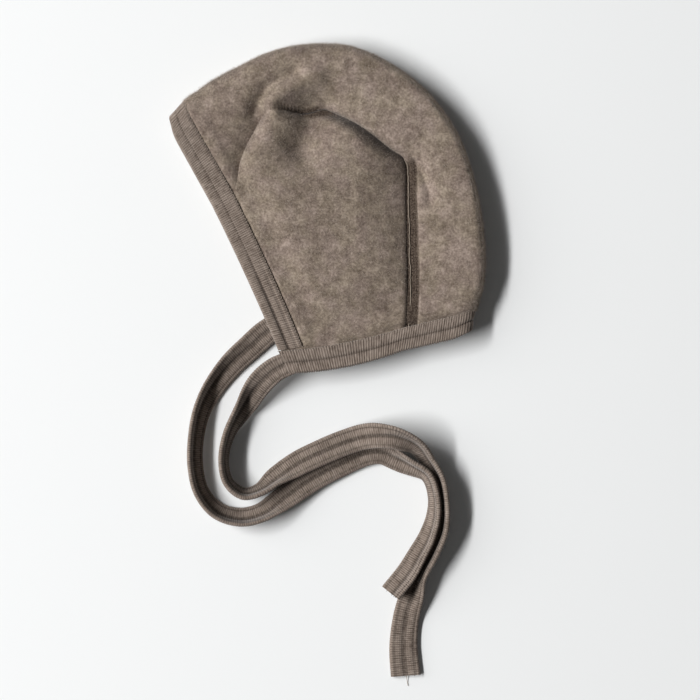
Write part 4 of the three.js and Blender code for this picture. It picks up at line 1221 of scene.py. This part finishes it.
class BONNET_OT_ties(bpy.types.Operator):
    """Lay the two rib-knit ties with their sewn lines and the loose thread"""

    bl_idname = "bonnet.lay_ties"
    bl_label = "Ties"

    def execute(self, context):
        rib, stitch = context.scene.bonnet_rib, context.scene.bonnet_stitch
        thread = thread_material("tie_thread", stitch.thread)
        section = tie_section(TIE_GROOVES)
        # Dark yarn along the sewn lines, with painted shade of their grooves.
        sewn_yarn_and_shade = sum(share * np.exp(-(((np.abs(section[:, 0]) - at) / TIE_SEWN_WIDTH) ** 2))
                   for at, share in ((TIE_SEAM, 1.0), (-TIE_EDGE_SEAM, 0.5)))
        # Name, route, share by which the cut end spreads, and seed of the ribs.
        ties = (("left_tie", LEFT_TIE, 0.14, 3), ("right_tie", RIGHT_TIE, 0.05, 5))
        for name, route, spread, seed in ties:
            at, wide, thick, run, cup = tie_frames(route, rib.tie_pitch, seed)
            swell = TIE_FULLNESS + START_FULLNESS * (1.0 - ease(run / START_FADE))
            width = 1.0 - START_NARROW * (1.0 - ease(run / NARROW_FADE))
            width = width + spread * ease((run - run[-1]) / END_FADE + 1.0)
            cupped = cup[:, None] * cup_rise(section[:, 0])
            rings = sweep(at, wide * width[:, None], thick, section, swell, cupped)
            proud = rib_depths(run, rib.tie_pitch, seed)[:, None]
            mesh = strip_mesh(name, rings, run, proud, sewn_yarn_and_shade)
            piece = knit(f"{name}_knit", mesh, rib.tie_pitch, rib, TIE_RELIEF)
            settle(piece, name)
            check_place(piece, name, TIE_ALLOWANCE)
            lines = []
            for groove, deep in TIE_ROWS:
                for side in (1.0, -1.0):
                    rise = side * swell * (TIE_THICKNESS / 2 - deep) + cup * cup_rise(groove)
                    lines.append((at + wide * groove * side + thick * rise[:, None], thick * side))
            rows = stitch_rows(f"{name}_stitches", lines, stitch, thread)
            settle(rows)
            if name == "left_tie":
                self.loose_thread(thread_material("loose_thread", stitch.hem_thread))
        return {"FINISHED"}

    def loose_thread(self, thread):
        """Thread end that hangs out of the cut end of the left tie."""
        rows = np.array(TAIL)
        knots = running_length(rows)
        at = curve_through(rows, knots, np.linspace(0.0, knots[-1], 13))
        along = unit(np.gradient(at, axis=0))
        first = square_to(np.tile((1.0, 0.0, 0.0), (len(at), 1)), along)
        rings = sweep(at, first, np.cross(along, first), round_section(TAIL_RADIUS))
        mesh = strip_mesh("left_tie_loose_thread", rings, running_length(at))
        piece = new_object("left_tie_loose_thread", mesh)
        mesh.materials.append(thread)
        settle(piece)
        return piece


class BONNET_OT_fleece(bpy.types.Operator):
    """Make the three fleece panels with their seams, lumps and nap"""

    bl_idname = "bonnet.make_fleece"
    bl_label = "Fleece Panels"

    def execute(self, context):
        fleece = context.scene.bonnet_fleece
        form = Form()
        material = fleece_material("brushed_fleece", fleece)
        fibres = {}
        # Painted light: loose fibres catch the light, so each shade is a tone lighter than its name in the
        # wool.
        for shade, colour in zip(NAP_SHADES, (fleece.bright, fleece.light, fleece.middle)):
            fibres[f"{shade} Fibre"] = new_material(f"fibre_{shade.lower()}", 1.0, 0.2, colour)[0]
        # Name, middle surface, depths and weights, cut size, flat area, how it is held, what it rests on.
        sheets = (
            ("centre_panel", form.centre, *self.centre_relief(form), (0.105, 0.31), 0.0254, "folded",
             ["right_side_panel"]),
            ("left_side_panel", form.near, *self.near_relief(form), (0.107, 0.143), 0.0119, "laid",
             ["centre_panel"]),
            ("right_side_panel", form.lower, *self.lower_relief(form), (0.104, 0.1136), 0.0086, "laid",
             ["floor"]),
        )
        for name, grid, outer, weights, flat, area, held, rests_on in sheets:
            mesh = sheet_mesh(name, grid, grid_normals(grid), outer, weights)
            piece = new_object(f"{name}_fleece", mesh)
            sizes = {"Lump Size": fleece.lump_size, "Lump Height": fleece.lump_height}
            grow(piece, "lumps", {**sizes, "Fleece": material})
            settle(piece, name)
            check_place(piece, name)
            if weights["nap"].any():
                nap = new_object(f"{name}_nap", piece.data.copy())
                nap.data.materials.clear()
                sizes = {
                    "Density": fleece.nap_density,
                    "Fibre Length": fleece.nap_length,
                    "Fibre Radius": fleece.nap_radius,
                    "Lean": fleece.nap_lean,
                    "Seed": fleece.nap_seed,
                }
                grow(nap, "nap", {**sizes, **fibres})
                settle(nap)
        return {"FINISHED"}

    def seam_turn(self, distance, least=SEAM_LEFT):
        """Share of the thickness left where the fleece turns down into a seam."""
        turn = 1.0 - np.clip(distance / SEAM_ROLL, 0.0, 1.0)
        return least + (1.0 - least) * np.sqrt(1.0 - turn**2)

    def open_share(self, away):
        """1 in the open, 0 in the strips held by the bindings, by the distance from the free edge."""
        return ease((away - STRIP + HELD_FADE) / HELD_FADE)

    def puff(self, away):
        """How far the fleece puffs up just beside a binding, at a distance from the free edge."""
        beside = away - TIP
        return PUFF * ease((beside - PUFF_FROM) / PUFF_RISE) * (1.0 - ease((beside - PUFF_TO) / PUFF_FADE))

    def centre_relief(self, form):
        """Depth of the centre panel's outer side with its stitched band, and its weights, whose press mask
        also holds painted shade in the crease and under the lip.
        """
        from_seam = form.from_seam
        from_far = from_seam[:, -1:] - from_seam
        rows = np.arange(len(form.centre))
        nape = ease((rows - CROWN_STEPS + NAPE_LEAD) / NAPE_FADE)[:, None]
        soft = 1.0 - ease((rows - SEAM_SOFT) / SOFT_FADE)[:, None]
        band = 1.0 - ease((from_seam - BAND_TO) / BAND_FADE + 0.5)
        turned = mix(SEAM_LEFT, 1.0, np.maximum(soft, nape))
        outer = HALF * self.seam_turn(from_seam, turned) * self.seam_turn(from_far)
        outer = outer - nape * BAND_DEPTH * band
        along = form.seam[:, 0]
        # Painted shade under the overhanging lip, along the crown seam.
        under_lip_shade = ease((along - LIP_FROM) / LIP_RISE) * (1.0 - ease((along - LIP_TO) / LIP_FALL))
        under_lip_shade = (under_lip_shade * (rows < CROWN_STEPS))[:, None] * (1.0 - ease((from_seam - LIP_WIDTH) / LIP_FADE))
        # Painted shade: the crease under the overhanging roll along the crown seam is darkened through the
        # press mask.
        crease_shade = (1.0 - nape) * (1.0 - soft) * np.exp(-((from_seam / CREASE_SHADE_WIDTH) ** 2))
        press = np.maximum(np.maximum(nape * band, under_lip_shade), CREASE_SHADE * crease_shade)
        ends = running_length(form.edge)
        held = np.minimum(ends, ends[-1] - ends)[rows, None]
        free = self.open_share(held) * ease((form.centre[..., 2] - FLOOR_CLEAR) / FLOOR_FADE)
        outer = outer + self.puff(held)
        columns = np.arange(form.centre.shape[1])[None] - FALL_STEPS - ROLL_STEPS
        rim = np.exp(-(((columns + RIM_INSET) / RIM_WIDTH) ** 2))
        upper = columns <= NAP_UNDER
        nap = free * upper * (1.0 - NAP_PRESSED * press) * mix(NAP_OPEN, NAP_RIM, rim)
        return outer, {"lump": free * (1.0 - press), "nap": nap, "press": press}

    def near_relief(self, form):
        """Depth of the upper side panel's outer side, and its weights, with painted shade in its seam
        valley.
        """
        distances = to_line(form.seam[::RELIEF_STEP], form.near)[0]
        place = distances.argmin(-1) * RELIEF_STEP
        distance = distances.min(-1)
        soft = 1.0 - ease((place - SEAM_SOFT) / SOFT_FADE)
        outer = HALF * self.seam_turn(distance, mix(SEAM_LEFT, 1.0, soft))
        away = np.minimum(nearest(form.near_face, form.near), nearest(form.near_neck, form.near))
        free = self.open_share(away)
        outer = outer + self.puff(away)
        # Painted shade in the seam valley, where the side panel sinks into the seam beside the roll; the
        # wool there is pressed too.
        hidden = np.maximum(form.sections[place, HANG], 0.0)
        press = (1.0 - soft) * np.exp(-((np.maximum(distance - hidden, 0.0) / VALLEY_SHADE_WIDTH) ** 2))
        nap = NAP_SIDE * free * (1.0 - NAP_PRESSED * press)
        return outer, {"lump": free, "nap": nap, "press": press}

    def lower_relief(self, form):
        """Depth of the lower side panel's outer side, which lies flat on the rest."""
        outer = HALF * self.seam_turn(nearest(form.far[::RELIEF_STEP], form.lower))
        return outer, {key: np.zeros(outer.shape) for key in ("lump", "nap", "press")}


class BONNET_OT_bindings(bpy.types.Operator):
    """Make the face and neck bindings with their sewn grooves"""

    bl_idname = "bonnet.make_bindings"
    bl_label = "Bindings"

    def execute(self, context):
        rib, stitch = context.scene.bonnet_rib, context.scene.bonnet_stitch
        form = Form()
        thread = thread_material("binding_thread", stitch.thread)
        hem_thread = thread_material("hem_thread", stitch.hem_thread)
        # Name, stations, rib pitch, grooves, thinning at the ends, share of the grooves left round the
        # outline, relief of the ribs, darkness of the sewn line's dark yarn and painted groove shade, and
        # seed of the ribs.
        bindings = (
            ("face_binding", self.face_line(form), rib.face_pitch, FACE_GROOVES, 0.0, 0.15, 0.55, 0.8, 11),
            ("neck_binding", self.neck_line(form), rib.neck_pitch, NECK_GROOVES, END_THIN, 0.9, 1.4, 0.4,
             13),
        )
        for name, stations, pitch, grooves, end_thin, outline_groove, relief, dark_line, seed in bindings:
            at, inward, normal, run = binding_frames(stations, pitch, seed)
            section, sunk, sewn_yarn_and_shade, ribs = binding_section(grooves)
            from_end = np.minimum(run, run[-1] - run)
            thin = 1.0 - end_thin * (1.0 - ease(from_end / END_THIN_FADE))
            from_middle = np.abs(run / run[-1] - 0.5)
            groove = mix(1.0, outline_groove, ease((OUTLINE_REACH - from_middle) / OUTLINE_FADE))
            rings = sweep(at, inward, normal, section, thin, groove[:, None] * sunk)
            proud = rib_depths(run, pitch, seed)[:, None] * ribs[None]
            mesh = strip_mesh(name, rings, run, proud, dark_line * groove[:, None] * sewn_yarn_and_shade)
            piece = knit(f"{name}_knit", mesh, pitch, rib, relief)
            settle(piece, name)
            check_place(piece, name)
            for row_name, rib_place, deep, row_thread in (
                (f"{name}_stitches", grooves[0][0], SEWN_DEPTH, thread),
                (f"{name}_hem", HEM_AT, HEM_DEPTH, hem_thread),
            ):
                lines = []
                for side in (1.0, -1.0):
                    rise = side * (thin * BAND_HALF - groove * deep)
                    lines.append((at + inward * rib_place + normal * rise[:, None], normal * side))
                rows = stitch_rows(row_name, lines, stitch, row_thread)
                settle(rows)
        return {"FINISHED"}

    def face_line(self, form):
        """Rough stations of the face binding: up the near edge, round the outline, down the far edge."""
        near = self.face_stations(form.near_at, EDGE_LEVEL, UP)
        far = self.face_stations(form.far_at, BAND_HALF, -UP)
        return np.vstack([near, end_stations(form, 0, FACE_ROWS), far[::-1]])

    def face_stations(self, plan_at, level, up):
        """Rough stations up a face edge, from the neck binding's edge to the seam."""
        chin, top = plan_at(np.zeros(2), np.array((0.0, 1.0)))
        shares = np.linspace((TIP + PIECE_GAP) / np.hypot(*(top - chin)), FACE_SHARE, EDGE_STATIONS)
        none = np.zeros(EDGE_STATIONS)
        return edge_stations(plan_at, (none, shares), (none + FACE_INSIDE, shares), level, up)

    def neck_line(self, form):
        """Stations of the neck binding: along the near edge, round the outline, back along the far one."""
        near = self.neck_stations(form.near_at, EDGE_LEVEL, UP)
        far = self.neck_stations(form.far_at, BAND_HALF, -UP)
        last = len(form.centre) - 1
        return np.vstack([near, end_stations(form, last, last - NECK_ROWS), far[::-1]])

    def neck_stations(self, plan_at, level, up):
        """Rough stations along a neck edge, from just beyond the chin to the seam."""
        shares = np.linspace(0.0, NECK_SHARE, EDGE_STATIONS)
        none = np.zeros(EDGE_STATIONS)
        stations = edge_stations(plan_at, (shares, none), (shares, none + NECK_INSIDE), level, up)
        start = stations[:1].copy()
        start[:, :3] += unit(stations[:1, :3] - stations[1:2, :3]) * FOLD
        return np.vstack([start, stations])


class BONNET_OT_nape_seam(bpy.types.Operator):
    """Sew the band of stitches and the light cord beside the nape seam, and the loops at the crown seam"""

    bl_idname = "bonnet.sew_nape_seam"
    bl_label = "Nape Seam"

    def execute(self, context):
        stitch = context.scene.bonnet_stitch
        form = Form()
        thread = thread_material("nape_thread", stitch.seam_thread)
        nape = np.arange(CROWN_STEPS - 1, len(form.centre) - BAND_END)
        height = HALF - BAND_DEPTH + stitch.radius / 2
        lines = [self.beside(form, nape, distance, height) for distance in BAND_ROWS]
        rows = stitch_rows("nape_seam_stitches", lines, stitch, thread)
        settle(rows)

        at, ups = self.beside(form, nape, CORD_AT, HALF)
        rng = np.random.default_rng(CORD_SEED)
        marks = running_length(at)
        knots = np.arange(0.0, marks[-1] + CORD_KNOTS, CORD_KNOTS)
        wander = rng.uniform(-CORD_WANDER, CORD_WANDER, len(knots))
        lift = rng.uniform(-CORD_WANDER, CORD_LIFT, len(knots))
        wave = CORD_WAVE * np.sin(marks / CORD_WAVE_LENGTH) + np.interp(marks, knots, wander)
        at = at + ups * np.interp(marks, knots, lift)[:, None]
        along = unit(np.gradient(at, axis=0))
        ups = square_to(ups, along)
        side = np.cross(along, ups)
        rings = sweep(at + side * wave[:, None], side, ups, round_section(CORD_RADIUS))
        mesh = strip_mesh("nape_seam_cord", rings, marks)
        mesh.materials.append(thread_material("nape_cord", stitch.seam_cord))
        settle(new_object("nape_seam_cord", mesh))

        crown = np.flatnonzero((form.seam[:, 0] > LOOPS_FROM) & (form.seam[:, 0] < LOOPS_TO))
        crown = crown[crown < CROWN_STEPS][::LOOP_STEP]
        distances = np.linspace(LOOPS_NEAR, LOOPS_FAR, LOOP_POINTS)
        rungs = [self.beside(form, crown, distance, HALF + stitch.radius / 2) for distance in distances]
        points, ups = (np.stack([rung[k] for rung in rungs], axis=1) for k in (0, 1))
        lines = list(zip(points, ups))
        loops = stitch_rows("crown_seam_loops", lines, stitch, thread)
        settle(loops)
        return {"FINISHED"}

    def beside(self, form, rows, distance, height):
        """Points and upward directions on the centre panel at a distance from the upper seam."""
        points, ups = [], []
        for row in rows:
            place = [np.interp(distance, form.from_seam[row], form.centre[row, :, k]) for k in range(3)]
            normals = form.centre_normals[row]
            up = [np.interp(distance, form.from_seam[row], normals[:, k]) for k in range(3)]
            points.append(np.array(place) + np.array(up) * height)
            ups.append(up)
        return np.array(points), np.array(ups)


class BONNET_PT_pieces(bpy.types.Panel):
    """Pieces of the bonnet and their settings"""

    bl_idname = "BONNET_PT_pieces"
    bl_label = "Baby Bonnet"
    bl_space_type = "VIEW_3D"
    bl_region_type = "UI"
    bl_category = "Bonnet"

    def draw(self, context):
        for operator in OPERATORS:
            self.layout.operator(operator.bl_idname)
        for pointer in SETTINGS:
            box = self.layout.box()
            group = getattr(context.scene, pointer)
            for name in group.bl_rna.properties.keys():
                if name not in ("rna_type", "name"):
                    box.prop(group, name)


SETTINGS = {
    "bonnet_fleece": FleeceSettings,
    "bonnet_rib": RibSettings,
    "bonnet_stitch": StitchSettings,
    "bonnet_stage": StageSettings,
}
OPERATORS = (BONNET_OT_stage, BONNET_OT_ties, BONNET_OT_fleece, BONNET_OT_bindings, BONNET_OT_nape_seam)


def register():
    for cls in (*SETTINGS.values(), *OPERATORS, BONNET_PT_pieces):
        bpy.utils.register_class(cls)
    for pointer, group in SETTINGS.items():
        setattr(bpy.types.Scene, pointer, PointerProperty(type=group))


def unregister():
    for pointer in SETTINGS:
        delattr(bpy.types.Scene, pointer)
    for cls in (BONNET_PT_pieces, *reversed(OPERATORS), *reversed(SETTINGS.values())):
        bpy.utils.unregister_class(cls)


def main():
    register()
    bpy.ops.bonnet.set_stage()
    bpy.ops.bonnet.lay_ties()
    bpy.ops.bonnet.make_fleece()
    bpy.ops.bonnet.make_bindings()
    bpy.ops.bonnet.sew_nape_seam()


if __name__ == "__main__":
    main()
